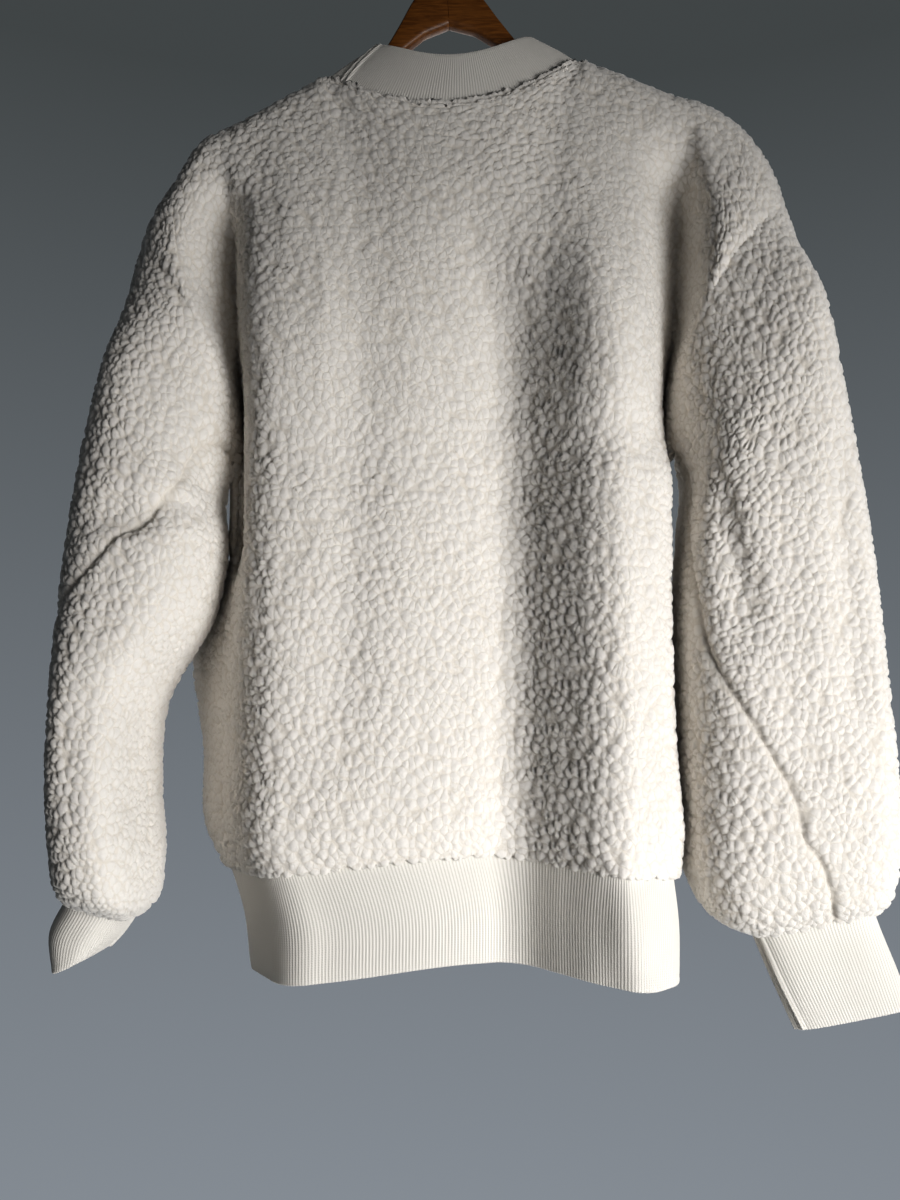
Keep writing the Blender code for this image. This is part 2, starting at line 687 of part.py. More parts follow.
def make_hanger(wood, collection):
    """A flat wooden hanger lofted through upright sections from one arm's rounded tip to the other's."""
    top = table("along height", HANGER_TOP)
    under = table("along height", HANGER_UNDER)
    stations = sorted(set(top["along"]) | set(under["along"]) | set(np.linspace(105, 188, 6)))
    end_along, end_top, end_under = stations[-1], top["height"][-1], under["height"][-1]
    sections = []
    for along in stations:
        height = np.interp(along, top["along"], top["height"])
        low = np.interp(along, under["along"], under["height"])
        sections.append((along, height, low, HANGER_THICKNESS / MM / 2))
    for share in (0.35, 0.7, 0.93):
        narrow = math.sqrt(1 - share**2)
        middle = (end_top + end_under) / 2
        half = (end_top - end_under) / 2 * narrow
        reach = end_along + TIP_ROUND / MM * share
        thickness = HANGER_THICKNESS / MM / 2 * narrow
        sections.append((reach, middle + half, middle - half, thickness))
    right = [hanger_ring(*(np.array(section) * MM)) for section in sections]
    left = [[(-along, y, height) for along, y, height in ring] for ring in right[:0:-1]]
    mesh = bmesh.new()
    rings = [[mesh.verts.new(point) for point in ring] for ring in left + right]
    for ring, following in zip(rings, rings[1:]):
        for corner in range(len(ring)):
            after = (corner + 1) % len(ring)
            mesh.faces.new((ring[corner], ring[after], following[after], following[corner]))
    mesh.faces.new(rings[0])
    mesh.faces.new(rings[-1])
    bmesh.ops.triangulate(mesh, faces=mesh.faces)
    bmesh.ops.recalc_face_normals(mesh, faces=mesh.faces)
    made = mesh_object("hanger", mesh, wood, collection)
    made.rotation_euler = (0, -HANGER_TILT, 0)
    return made


def make_hook(steel, collection):
    """A wire hook that rises from the hanger's middle, swings out to +X and bends over to -X."""
    bend = HOOK_INSIDE + HOOK_WIRE / 2
    centre = -HOOK_INSIDE
    foot = HANGER_TOP[0][1] * MM + SEAM_GAP
    points = [(0, foot), (0, centre - bend - 4 * MM)]
    for angle in np.radians(np.arange(-78, 214, 12)):
        points.append((bend * math.cos(angle), centre + bend * math.sin(angle)))
    curve = bpy.data.curves.new("hanger_hook", "CURVE")
    curve.dimensions = "3D"
    curve.bevel_depth = HOOK_WIRE / 2
    curve.bevel_resolution = 1
    curve.use_fill_caps = True
    line = curve.splines.new("POLY")
    line.points.add(len(points) - 1)
    for point, (across, height) in zip(line.points, points):
        point.co = (across, 0, height, 1)
    made = bpy.data.objects.new("hanger_hook", curve)
    curve.materials.append(steel)
    collection.objects.link(made)
    made.rotation_euler = (0, -HANGER_TILT, 0)
    return made


def main():
    for old in list(bpy.data.objects):
        bpy.data.objects.remove(old)
    collection = bpy.data.collections.new("sherpa_fleece_pullover")
    bpy.context.scene.collection.children.link(collection)
    materials = {name: plain_material(name) for name in COLOURS}
    pieces = make_fleece(materials["fleece"], collection)
    make_hem_band(pieces, materials["rib"], collection)
    make_neckband(pieces, materials["rib"], collection)
    make_cuff("left", pieces, materials["rib"], collection)
    make_cuff("right", pieces, materials["rib"], collection)
    make_hanger(materials["wood"], collection)
    make_hook(materials["steel"], collection)


main()
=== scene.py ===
"""How the sherpa fleece pullover on its wooden hanger looks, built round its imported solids.

The garment's surface is worked out from named sizes, nearly all of them the solids' own, at the
fineness of its curled pile and of its ribs. -Y is the side that the back panel faces, and +X the side of
sleeve_right.
"""

import math

import bmesh
import bpy
import numpy as np
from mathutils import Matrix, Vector


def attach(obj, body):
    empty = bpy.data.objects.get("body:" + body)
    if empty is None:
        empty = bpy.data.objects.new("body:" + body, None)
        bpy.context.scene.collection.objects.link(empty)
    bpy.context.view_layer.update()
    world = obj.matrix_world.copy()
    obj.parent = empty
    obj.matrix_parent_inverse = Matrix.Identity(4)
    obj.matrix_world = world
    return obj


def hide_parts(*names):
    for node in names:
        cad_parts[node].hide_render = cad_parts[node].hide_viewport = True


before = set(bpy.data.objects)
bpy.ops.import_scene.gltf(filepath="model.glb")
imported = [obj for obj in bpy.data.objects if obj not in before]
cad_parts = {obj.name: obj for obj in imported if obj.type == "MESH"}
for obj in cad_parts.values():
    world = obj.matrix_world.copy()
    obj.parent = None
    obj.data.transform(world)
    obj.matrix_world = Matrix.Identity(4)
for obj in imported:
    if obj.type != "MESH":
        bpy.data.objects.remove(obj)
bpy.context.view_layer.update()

MM = 0.001

# --- Sizes of the garment ---
# They are those of its solids, apart from FOLDS, CREASES, VALLEY, SLEEVE_FOLDS and RING_SQUARENESS:
# the cloth's folds, creases and the sleeves' fullness are shaped here.

FLEECE_WALL = 7.0 * MM
RIB_WALL = 2.2 * MM
BAND_GAP = 0.7 * MM

HANGER_TILT = math.radians(4)
CLOTH_ACROSS = 8 * MM  # how far right of the hook the cloth hangs
CLOTH_SHIFT = np.array([CLOTH_ACROSS, 0, 0])
HANGER_THICKNESS = 12 * MM
HANGER_EDGE = 4.5 * MM
HOOK_WIRE = 3.6 * MM
HOOK_INSIDE = 22 * MM

NECK_FROM, NECK_TO = 0.3, 0.7
ARMPIT_LEFT, ARMPIT_RIGHT = -467 * MM, -452 * MM
HEM_SEAM = -755 * MM
HEM_FOOT = -826 * MM
HEM_ARCH, HEM_ARCH_WIDTH = 13 * MM, 0.26  # its width is a share of the panel's
HEM_MIDDLE = -790 * MM  # the height at which the hem band's girth is taken
SHOULDER_ROUND = 20 * MM

HANGER_TOP = ((0, -64), (14, -67), (26, -79), (40, -102), (57, -127), (78, -142), (105, -155), (192, -200))
HANGER_UNDER = ((0, -104), (20, -111), (105, -174), (188, -218))
TIP_ROUND = 8 * MM
GLUE_JOINT = 0.35  # in mm, the groove between the hanger's arms
HOOK_STANDS = 0.3 * MM  # the hook's foot off the wood

SHOULDER_FALL_LEFT = ((-213, -238), (-229, -266), (-239, -296))
SHOULDER_FALL_RIGHT = ((236, -204), (251, -232), (260, -259))
SHOULDER_OVER_ARM = 10 * MM
NECK_POINT_ALONG = 105 * MM
ARM_END_ALONG = 198 * MM

BACK_NECK = (3, -39, -193)
FRONT_NECK = (3, 43, -236)
NECKBAND_TOP_MIDDLE = (3.5, 2, -146)
NECKBAND_TOP_HALF = (66, 32)
NECKBAND_TOP_RISE = (4, 21, 22)  # its rise to the right, to the back and at both ends
NECKLINE_FULLNESS = (1, 0.85, 2.1)  # powers of the neckline's curve across, in y and in height

SECTION_COLUMNS = (
    "height seam_left seam_left_y corner_left corner_left_y "
    "corner_right corner_right_y seam_right seam_right_y bow"
)
BACK_SECTIONS = (
    (-440, -158, -12, -140, -64, 156, -64, 164, -12, 3),
    (-520, -158, -10, -138, -69, 153, -69, 159, -10, 4),
    (-586, -166, -8, -136, -71, 151, -72, 157, -8, 4),
    (-676, -165, -8, -133, -71, 152, -72, 158, -8, 4),
    (-735, -160, -8, -131, -70, 156, -68, 161, -8, 3),
    (-765, -150, -6, -120, -60, 152, -60, 160, -6, 3),
)
FRONT_SECTIONS = (
    (-440, -158, -12, -146, 44, 154, 46, 164, -12, 8),
    (-520, -158, -10, -172, 56, 158, 52, 159, -10, 8),
    (-586, -166, -8, -208, 62, 163, 54, 157, -8, 8),
    (-676, -165, -8, -197, 60, 165, 54, 158, -8, 8),
    (-735, -160, -8, -192, 58, 167, 52, 161, -8, 8),
    (-765, -150, -6, -172, 46, 162, 42, 160, -6, 7),
)
BACK_BAND_SECTIONS = (
    (-764, -146, -5, -115, -56, 150, -57, 158, -6, 3),
    (-790, -143, -5, -112, -60, 151, -62, 160, -8, 4),
    (-826, -140, -5, -110, -62, 150, -65, 158, -10, 5),
)
FRONT_BAND_SECTIONS = (
    (-764, -146, -5, -162, 42, 158, 38, 158, -6, 6),
    (-790, -143, -5, -157, 44, 157, 40, 160, -8, 6),
    (-826, -140, -5, -151, 44, 153, 40, 158, -10, 6),
)
CORNER_CUT = 24 * MM
CORNER_SHARES = (0.10, 0.24, 0.78, 0.90)
SECTIONS = {"back": BACK_SECTIONS, "front": FRONT_SECTIONS}
BAND_SECTIONS = {"back": BACK_BAND_SECTIONS, "front": FRONT_BAND_SECTIONS}
OUTWARDS = {"back": -1, "front": 1}  # the way along y that a panel faces
HANDED = {"back": 1, "front": -1, "left": 1, "right": -1}  # turns normals out of the garment

# How a panel falls from its top edge to its armpits. Reaches are shares of its width.
MIDDLE_FALL, FALL_REACH = 1.55, 0.12  # away from the armholes its upper rows lie closer together
SPREAD = 2.2  # how soon it has spread across to the section at its armpits
BULGE_AT_SIDE, BULGE_AT_NECK, BULGE_AT_SHOULDER = 38 * MM, 8 * MM, 15 * MM
BULGE_REACH, BULGE_POWER = 0.16, 0.8
FOLDS_BEGIN = 90 * MM  # how far below the top edge the folds reach their full depth
KINK_WIDTH = 0.11  # about the neck points, where the surface is smoothed over the heights below
KINK_BEGINS, KINK_FADES, KINK_ENDS = 25 * MM, 120 * MM, 110 * MM
KINK_MEAN, ARMPIT_MEAN, ARMPIT_WIDTH = 15, 24, 14  # means and smoothed strips: one such part of a grid

# Folds that hang down the panels. Columns: panel, top across, top height, low across, low height, half
# width, depth inwards.
FOLDS = (
    ("back", -166, -225, -156, -460, 11, 24),
    ("back", 184, -215, 167, -450, 10, 22),
    ("back", -58, -330, -75, -700, 22, 4),
    ("front", -70, -300, -80, -900, 26, 16),
    ("front", 62, -330, 48, -900, 24, 18),
)

# Creases of the worn cloth. Columns: panel, a line of across and height, the width of the trough to its
# left and to its right, its depth, negative for a ridge.
CREASES = (
    ("back", ((-180, -190), (-170, -330), (-161, -440), (-157, -560)), 26, 10, 34),
    ("back", ((180, -170), (174, -280), (169, -360), (166, -480)), 24, 10, 38),
    ("back", ((-100, -752), (-104, -800), (-104, -860)), 13, 18, -3),
    ("back", ((108, -735), (118, -785), (129, -845)), 18, 13, -8),
    ("front", ((-24, -320), (-34, -520), (-16, -840)), 22, 46, 15),
    ("front", ((34, -360), (22, -560), (30, -830)), 26, 14, -9),
    ("front", ((112, -280), (120, -480), (108, -700)), 12, 30, 13),
    ("front", ((-128, -330), (-136, -560), (-130, -820)), 30, 12, 10),
)

# The shares of a fold's length over which it grows and fades, the power of a crease's section, and the
# share of a panel's width over which all folds die out at its side seams.
FOLD_BEGINS, FOLD_ENDS = 0.3, 0.2
CREASE_BEGINS, CREASE_ENDS, CREASE_POWER = 0.3, 0.12, 2.6
SLEEVE_FOLD_FADES = 0.35
SIDE_SEAM_REACH = 0.05

# The deep valley down the back, right of its middle: how far the cloth stands inwards at places across
# it. It faces the sleeve on its long side and turns sharply up to a ridge.
VALLEY_FROM, VALLEY_FULL = -245 * MM, -400 * MM
VALLEY_LEAN = 26 * MM  # how far left of its lower part it starts
VALLEY = (
    (-150, 0), (-100, 0), (-50, 3), (-5, 11), (20, 19), (36, 26), (51, 24), (73, 7), (95, -10),
    (114, -15), (134, -8), (160, 0),
)

# Rings of the sleeves and cuffs. Columns: outer edge across, its height, inner edge across, its
# height, y of the near and of the far side.
LEFT_RINGS = (
    (-247, -378, -168, -494, -76, 40),
    (-259, -455, -163, -528, -90, 34),
    (-269, -550, -173, -582, -94, 34),
    (-270, -625, -207, -640, -100, 46),
    (-269, -695, -211, -702, -102, 50),
    (-267, -740, -207, -752, -94, 48),
    (-267, -764, -210, -780, -76, 38),
    (-268, -771, -217, -787, -58, 30),
)
RIGHT_RINGS = (
    (267, -330, 174, -478, -74, 40),
    (282, -420, 169, -520, -80, 38),
    (294, -520, 164, -570, -82, 36),
    (300, -615, 162, -640, -84, 36),
    (304, -695, 163, -705, -84, 36),
    (304, -745, 167, -758, -78, 32),
    (300, -772, 186, -790, -64, 20),
    (296, -780, 204, -798, -52, 4),
)
LEFT_CUFF_RINGS = (
    (-267, -777, -224, -790, -48, 22),
    (-275, -797, -232, -802, -50, 20),
    (-270, -822, -241, -811, -52, 16),
)
RIGHT_CUFF_RINGS = (
    (292, -786, 210, -800, -44, -4),
    (302, -814, 221, -829, -42, -10),
    (314, -845, 234, -860, -39, -16),
)
RINGS = {"left": LEFT_RINGS, "right": RIGHT_RINGS}
CUFF_RINGS = {"left": LEFT_CUFF_RINGS, "right": RIGHT_CUFF_RINGS}
RING_SQUARENESS = {"left": 2.6, "right": 3.6}  # 2 is an ellipse

# Folds of the sleeves. Columns: sleeve, turn in degrees from the outer edge over the near side and
# share of the sleeve's length at the fold's start, both at its end, half width, depth inwards.
SLEEVE_FOLDS = (
    ("left", 150, 0.20, 60, 0.42, 20, 7),
    ("left", 110, 0.55, 70, 0.95, 24, 4),
    ("left", 300, 0.30, 250, 0.90, 20, 8),
    ("right", 135, 0.15, 100, 0.60, 17, 7),
    ("right", 62, 0.25, 72, 0.80, 20, 6),
    ("right", 290, 0.25, 260, 0.90, 20, 8),
)

# --- Sizes of the sewing, the pile and the knit ---

# Each sleeve's closing seam has turned round onto the near side. Columns: share of the sleeve's
# length, turn in degrees.
LEFT_CLOSING_SEAM = (
    (0.00, 180), (0.05, 150), (0.09, 137), (0.19, 126), (0.28, 110), (0.34, 99), (0.38, 88),
    (0.43, 78), (0.48, 60), (0.55, 20), (0.66, -24), (0.80, -48), (1.00, -62),
)
RIGHT_CLOSING_SEAM = (
    (0.00, 180), (0.20, 177), (0.36, 166), (0.443, 153), (0.54, 140), (0.65, 110), (0.77, 92.5),
    (0.86, 90), (0.93, 87.8), (1.00, 88),
)
CLOSING_SEAMS = {"left": LEFT_CLOSING_SEAM, "right": RIGHT_CLOSING_SEAM}
SEAM_DEPTH = 3.0 * MM
SEAM_HALF_WIDTH = 2.2 * MM
SEAM_PRESSED = 4.5 * MM  # the pile lies down this far beside a seam
CLOSING_FLAT, EDGE_FLAT = 0.8, 0.2  # how much of its height it loses in a seam
THREAD_STANDS = 0.2 * MM  # how far out of a seam's bottom its thread stands
EDGE_SEAM_DEPTH = 1.4 * MM
ARMHOLE_SEAM_DEPTH = 0.5 * MM
EDGE_SEAM_REACH = 4 * MM

CURL_SIZE = 5.6 * MM  # from one curl of the pile to the next
CURL_HEIGHT = 3.8 * MM
PILE_UNDER = 2.5 * MM  # the pile's foot lies this far under the solid's face
CURL_LENGTHENED = 1.2
CURL_WANDER = 2.0 * MM  # how far the curls stray from even spacing
KNOT_SIZE = 3.3 * MM  # the small knots inside one curl
PILE_SOFTNESS = 1.2  # the loose fibres pass light on, so a curl is lit partly as the cloth under it
MATTED_PATCH = 26 * MM  # from one patch of closed, matted curls to the next
CLOUDY_PATCH = 45 * MM  # from one faint cloud of the cloth's colour to the next
FIBRE_SIZE = 1.3 * MM
ROLL_ANGLES = (22, 50, 78, 106, 134)  # the pile rolls over a wall's edge in rows at these angles
ROLL_PILE = (1.1, 1.4, 1.4, 1.0, 0.4)  # the pile's height in each of those rows, as a share
SHOULDER_ROLL, NECK_ROLL = 0.3, 2.0  # how far it rolls past an edge, as a part of half the wall
NECK_END = 0.02  # the share of a panel's width over which the neckline's edge begins
UPPER_ROWS = 0.48  # the share of a panel's rows that lie above its armpits

RIB_PITCH = 2.1 * MM
RIB_HEIGHT = 0.16 * MM
STITCH_HEIGHT = 1.5 * MM
STITCH_SLANT, STITCH_LOOP = 0.22, 0.22  # as shares of its height and of the rib's
NECKBAND_RIBS = 280
NECKBAND_SWELL = 1.5 * MM  # its middle stands this much higher than midway
GRAIN_SCALE, FLECK_SCALE = 60.0, 260.0  # the wood's grain is 17 mm long and its flecks 4 mm
GRAIN_DRAWN = 9.0  # both are this many times longer than wide
JOIN_HEIGHT, JOIN_HALF, JOIN_WIDTH = 1.5 * MM, 2.9 * MM, 1.7 * MM
NECKBAND_JOIN = (0.09, 0.073)  # as shares of a band's turn at its foot and at its edge
CUFF_JOINS = {"left": (0.62, 0.62), "right": (0.455, 0.465)}

PANEL_COLUMNS, PANEL_ROWS = ((262, 344))
SLEEVE_COLUMNS, SLEEVE_ROWS = ((280, 322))
INNER_COLUMNS, INNER_ROWS = 60, 84
POINTS_A_RIB = 4
HEM_ROWS, NECKBAND_ROWS, CUFF_ROWS = 15, 14, 20
FOLD_ROWS = 4  # rows round a band's folded edge
INSIDE_ROWS = 4  # rows up a band's inside


# --- Curves through named sizes ---


def table(columns, rows):
    """The table's columns by name, as arrays, in the table's own units."""
    return {name: np.array(column) for name, column in zip(columns.split(), zip(*rows))}


def through(places, values, at):
    """A smooth curve through the values at these places, read at others. It ends level past its ends."""
    places = np.asarray(places, float)
    values = np.asarray(values, float)
    at = np.clip(at, places[0], places[-1])
    slopes = np.gradient(values, places, axis=0)
    span = np.clip(np.searchsorted(places, at, side="right") - 1, 0, len(places) - 2)
    step = places[span + 1] - places[span]
    share = (at - places[span]) / step
    extra = values.ndim - 1
    share = share.reshape(share.shape + (1,) * extra)
    step = step.reshape(step.shape + (1,) * extra)
    rise = share * share * (3 - 2 * share)
    leave = share * (1 - share) ** 2
    arrive = share * share * (share - 1)
    start, end = values[span], values[span + 1]
    return start + (end - start) * rise + step * (leave * slopes[span] + arrive * slopes[span + 1])


def path_through(points, at):
    """A smooth curve through points, or a tube through rings of equal count, read at shares of its length."""
    points = np.asarray(points, float)
    lengths = np.linalg.norm(np.diff(points, axis=0), axis=-1).reshape(len(points) - 1, -1)
    places = np.concatenate([[0], np.cumsum(lengths.mean(axis=1))])
    return through(places, points, np.asarray(at) * places[-1])


def ease(share):
    """0 to 1 with a level start and end."""
    share = np.clip(share, 0, 1)
    return share * share * (3 - 2 * share)


def quarter(share):
    """0 to 1 along a quarter of a circle that starts upright."""
    return np.sqrt(1 - (1 - np.clip(share, 0, 1)) ** 2)


def mix(start, end, share):
    return start + (end - start) * share


def hump(distance, half_width):
    """1 at distance 0, falling softly to nothing over a few half widths."""
    return np.exp(-((distance / half_width) ** 2))


def unit(vectors):
    return vectors / np.linalg.norm(vectors, axis=-1, keepdims=True)


def tilted(across, height):
    """A point of the hanger's own plane, turned about the hook."""
    cosine, sine = math.cos(HANGER_TILT), math.sin(HANGER_TILT)
    return across * cosine - height * sine, across * sine + height * cosine


# --- The body's surface ---


def shoulder_points(side):
    """The shoulder's outer edge from the neckline to the armhole: side is -1 or 1."""
    arm = table("along height", HANGER_TOP)
    points = []
    for along in np.linspace(NECK_POINT_ALONG, ARM_END_ALONG, 4):
        height = np.interp(along, arm["along"] * MM, arm["height"] * MM) + SHOULDER_OVER_ARM
        across, height = tilted(side * along, height)
        points.append((across - CLOTH_ACROSS, 0, height))
    fall = SHOULDER_FALL_LEFT if side < 0 else SHOULDER_FALL_RIGHT
    points += [(across * MM, 0, height * MM) for across, height in fall]
    return np.array(points)


def top_edge(panel, u):
    """The panel's upper edge: left shoulder, neckline, right shoulder."""
    left, right = shoulder_points(-1), shoulder_points(1)
    middle = np.array(BACK_NECK if panel == "back" else FRONT_NECK) * MM
    edge = np.zeros(u.shape + (3,))
    on_left, on_right = u <= NECK_FROM, u >= NECK_TO
    on_neck = ~(on_left | on_right)
    edge[on_left] = path_through(left[::-1], u[on_left] / NECK_FROM)
    edge[on_right] = path_through(right, (u[on_right] - NECK_TO) / (1 - NECK_TO))
    turn = math.pi * (u[on_neck] - NECK_FROM) / (NECK_TO - NECK_FROM)
    centre = (left[0] + right[0]) / 2
    half = (right[0] - left[0]) / 2
    dip = (middle - centre) * np.array([0, 1, 1])
    drop = np.sin(turn)[:, None] ** np.array(NECKLINE_FULLNESS)
    edge[on_neck] = centre - np.cos(turn)[:, None] * half + drop * dip
    return edge


def level_section(sections, height, u):
    """Across and y of a panel at these heights, u running from the left side seam to the right one."""
    size = table(SECTION_COLUMNS, sections)
    levels = size.pop("height")[::-1] * MM
    read = {name: through(levels, column[::-1] * MM, height) for name, column in size.items()}
    seam_left, corner_left, corner_right, seam_right = (
        np.stack([read[name], read[f"{name}_y"]], -1)
        for name in ("seam_left", "corner_left", "corner_right", "seam_right")
    )

    def cut(corner, towards):
        return corner + unit(towards - corner) * CORNER_CUT

    def turned(start, corner, end, share):
        return mix(mix(start, corner, share), mix(corner, end, share), share)

    stops = (0, *CORNER_SHARES, 1)
    shares = [np.clip((u - a) / (b - a), 0, 1)[..., None] for a, b in zip(stops, stops[1:])]
    into_left, out_left = cut(corner_left, seam_left), cut(corner_left, corner_right)
    into_right, out_right = cut(corner_right, corner_left), cut(corner_right, seam_right)
    pieces = (
        mix(seam_left, into_left, shares[0]),
        turned(into_left, corner_left, out_left, shares[1]),
        mix(out_left, into_right, shares[2]),
        turned(into_right, corner_right, out_right, shares[3]),
        mix(out_right, seam_right, shares[4]),
    )
    found = pieces[0]
    for stop, piece in zip(stops[1:], pieces[1:]):
        found = np.where((u >= stop)[..., None], piece, found)
    across_face = np.clip((u - stops[1]) / (stops[4] - stops[1]), 0, 1)
    bow = read["bow"] * np.sin(math.pi * across_face)
    outwards = np.sign(corner_left[..., 1])
    return found[..., 0], found[..., 1] + outwards * bow


def folded(panel, u, across, height):
    """How far the panel's folds draw its surface in, for each point. They end at the side seams."""
    inwards = np.zeros(across.shape)
    for named, top_across, top_height, low_across, low_height, half_width, depth in FOLDS:
        if named == panel:
            down = (top_height * MM - height) / ((top_height - low_height) * MM)
            centre = mix(top_across * MM, low_across * MM, np.clip(down, 0, 1))
            fade = ease(down / FOLD_BEGINS) * ease((1 - down) / FOLD_ENDS)
            inwards += depth * MM * fade * hump(across - centre, half_width * MM)
    for named, line, left_width, right_width, depth in CREASES:
        if named == panel:
            inwards += creased(line, left_width * MM, right_width * MM, depth * MM, across, height)
    if panel == "back":
        begun = ease((VALLEY_FROM - height) / (VALLEY_FROM - VALLEY_FULL))
        places, depths = (np.array(column) * MM for column in zip(*VALLEY))
        inwards += begun * through(places, depths, across + VALLEY_LEAN * (1 - begun))
    return inwards * ease(np.minimum(u, 1 - u) / SIDE_SEAM_REACH)


def creased(line, left_width, right_width, depth, across, height):
    """How deep a crease is at each point: steeper on its narrow side, fading out at its ends."""
    stops = np.array(line[::-1]) * MM
    away = across - through(stops[:, 1], stops[:, 0], height)
    low, top = stops[0, 1], stops[-1, 1]
    length = top - low
    fade = ease((top - height) / length / CREASE_BEGINS) * ease((height - low) / length / CREASE_ENDS)
    width = np.where(away < 0, left_width, right_width)
    return depth * fade * np.exp(-np.abs(away / width) ** CREASE_POWER)


def hem_rise(u):
    """How far the hem's line rises across a panel."""
    return HEM_ARCH * hump(u - 0.5, HEM_ARCH_WIDTH) * np.sin(math.pi * u)


def body_points(panel, u, down):
    """The panel's surface. down runs 0 to 1 from the top edge to the armpits, and on to 2 at the hem."""
    outwards = OUTWARDS[panel]
    top = top_edge(panel, u)
    armpit = mix(ARMPIT_LEFT, ARMPIT_RIGHT, u)
    hem = HEM_SEAM + hem_rise(u)

    upper = np.clip(down, 0, 1)
    near_edge = np.minimum(u, 1 - u)
    fallen = upper ** mix(1.0, MIDDLE_FALL, ease(near_edge / FALL_REACH))
    height = mix(top[..., 2], armpit, fallen)
    height = np.where(down > 1, mix(armpit, hem, np.clip(down - 1, 0, 1)), height)

    low_across, low_y = level_section(SECTIONS[panel], np.minimum(height, armpit), u)
    across = mix(top[..., 0], low_across, 1 - (1 - fallen) ** SPREAD)
    below_top = top[..., 2] - height
    on_ridge = np.clip(1 - np.abs(top[..., 1]) / SHOULDER_ROUND, 0, 1)
    ridge = SHOULDER_ROUND * quarter(below_top / SHOULDER_ROUND) * on_ridge
    bulge = mix(BULGE_AT_NECK, BULGE_AT_SHOULDER, on_ridge)
    bulge = mix(BULGE_AT_SIDE, bulge, ease(near_edge / BULGE_REACH))
    settled = ease(fallen)
    y = (top[..., 1] + outwards * ridge) * (1 - settled) + low_y * settled
    y = y + outwards * bulge * np.sin(math.pi * fallen**BULGE_POWER)
    y = y - outwards * folded(panel, u, across, height) * ease(below_top / FOLDS_BEGIN)
    return np.stack([across, y, height], -1)


def round_body(back, front):
    """One closed run along a line of the back panel and back along that of the front panel."""
    return np.concatenate([back, front[-2:0:-1]])


def body_edge(u_back, u_front, levels, row):
    """The points and the normals of one of these levels, round both panels."""
    lines = []
    for panel, u in (("back", u_back), ("front", u_front)):
        points = body_points(panel, *np.meshgrid(u, levels))
        lines.append((points[row], normals_of(points, False, HANDED[panel])[row]))
    return [round_body(back, front) for back, front in zip(*lines)]


def band_section(panel, height, u):
    """Across and y of the hem band over a panel at one height, with the panel's folds."""
    level = np.full(u.shape, height)
    across, y = level_section(BAND_SECTIONS[panel], level, u)
    return across, y - OUTWARDS[panel] * folded(panel, u, across, level)


def band_points(u_back, u_front, heights):
    """The hem band's surface, round the back from left to right and the front from right to left."""
    rings = []
    for share in heights:
        height, ring = mix(HEM_SEAM, HEM_FOOT, share), []
        for panel, u in (("back", u_back), ("front", u_front)):
            across, y = band_section(panel, height, u)
            ring.append(np.stack([across, y, height + hem_rise(u)], -1))
        rings.append(round_body(*ring))
    return np.array(rings)


# --- The sleeves' and cuffs' surfaces ---


def ring_points(side, size, turn):
    """A ring from its outer edge over the near side, for each angle in turn."""
    outer, outer_height, inner, inner_height, near, far = (value * MM for value in size)
    middle = np.array([(outer + inner) / 2, (near + far) / 2, (outer_height + inner_height) / 2])
    half = np.array([(outer - inner) / 2, 0, (outer_height - inner_height) / 2])
    cosine, sine = np.cos(turn), np.sin(turn)
    power = 2 / RING_SQUARENESS[side]
    along = np.sign(cosine) * np.abs(cosine) ** power
    over = np.sign(sine) * np.abs(sine) ** power
    return middle + along[:, None] * half + over[:, None] * np.array([0, (near - far) / 2, 0])


def armhole_ring(side, count):
    """The armhole from the shoulder down the back panel's edge and up the front's."""
    down = np.linspace(0, 1, count // 2 + 1)
    u = np.full(down.shape, 0.0 if side == "left" else 1.0)
    return round_body(body_points("back", u, down), body_points("front", u, down))


def sleeve_points(side, count, rows):
    """The sleeve's surface from the armhole's ring to the cuff seam."""
    turn = 2 * math.pi * np.arange(count) / count
    rings = [armhole_ring(side, count)] + [ring_points(side, size, turn) for size in RINGS[side]]
    tube = path_through(rings, rows)
    outward = unit(tube - tube.mean(axis=1, keepdims=True))
    girth = girth_of(tube)
    for named, turn_from, share_from, turn_to, share_to, half_width, depth in SLEEVE_FOLDS:
        if named != side:
            continue
        along = (rows - share_from) / (share_to - share_from)
        centre = np.radians(mix(turn_from, turn_to, np.clip(along, 0, 1)))
        away = (turn[None] - centre[:, None] + math.pi) % (2 * math.pi) - math.pi
        distance = away / (2 * math.pi) * girth[:, None]
        fade = (ease(along / SLEEVE_FOLD_FADES) * ease((1 - along) / SLEEVE_FOLD_FADES))[:, None]
        tube = tube - outward * (depth * MM * fade * hump(distance, half_width * MM))[..., None]
    return tube


def read_along(line, run, at):
    """A line of points read at distances along it."""
    return np.stack([np.interp(at, run, line[:, axis]) for axis in range(3)], -1)


def evened(rings, count):
    """Closed rings read again at even distances round each."""
    closed = np.concatenate([rings, rings[:, :1]], axis=1)
    runs = run_from_start(closed, 1)
    shares = np.arange(count) / count
    return np.array([read_along(ring, run, shares * run[-1]) for ring, run in zip(closed, runs)])


def girth_of(rings):
    return np.linalg.norm(np.diff(rings, axis=1, append=rings[:, :1]), axis=2).sum(axis=1)


# --- Normals, distances and meshes ---


def normals_of(points, closed, turned):
    """The normal at each point of a grid. turned is 1 or -1, so that it points out of the garment."""
    wide = np.concatenate([points[:, -1:], points, points[:, :1]], axis=1) if closed else points
    along = np.gradient(wide, axis=1)
    down = np.gradient(wide, axis=0)
    found = np.cross(down, along)
    if closed:
        found = found[:, 1:-1]
    return unit(found) * turned


def run_from_start(points, axis):
    """The distance of each point from the grid's first line along this axis."""
    steps = np.linalg.norm(np.diff(points, axis=axis), axis=2)
    first = np.zeros_like(steps[:1] if axis == 0 else steps[:, :1])
    return np.cumsum(np.concatenate([first, steps], axis=axis), axis=axis)


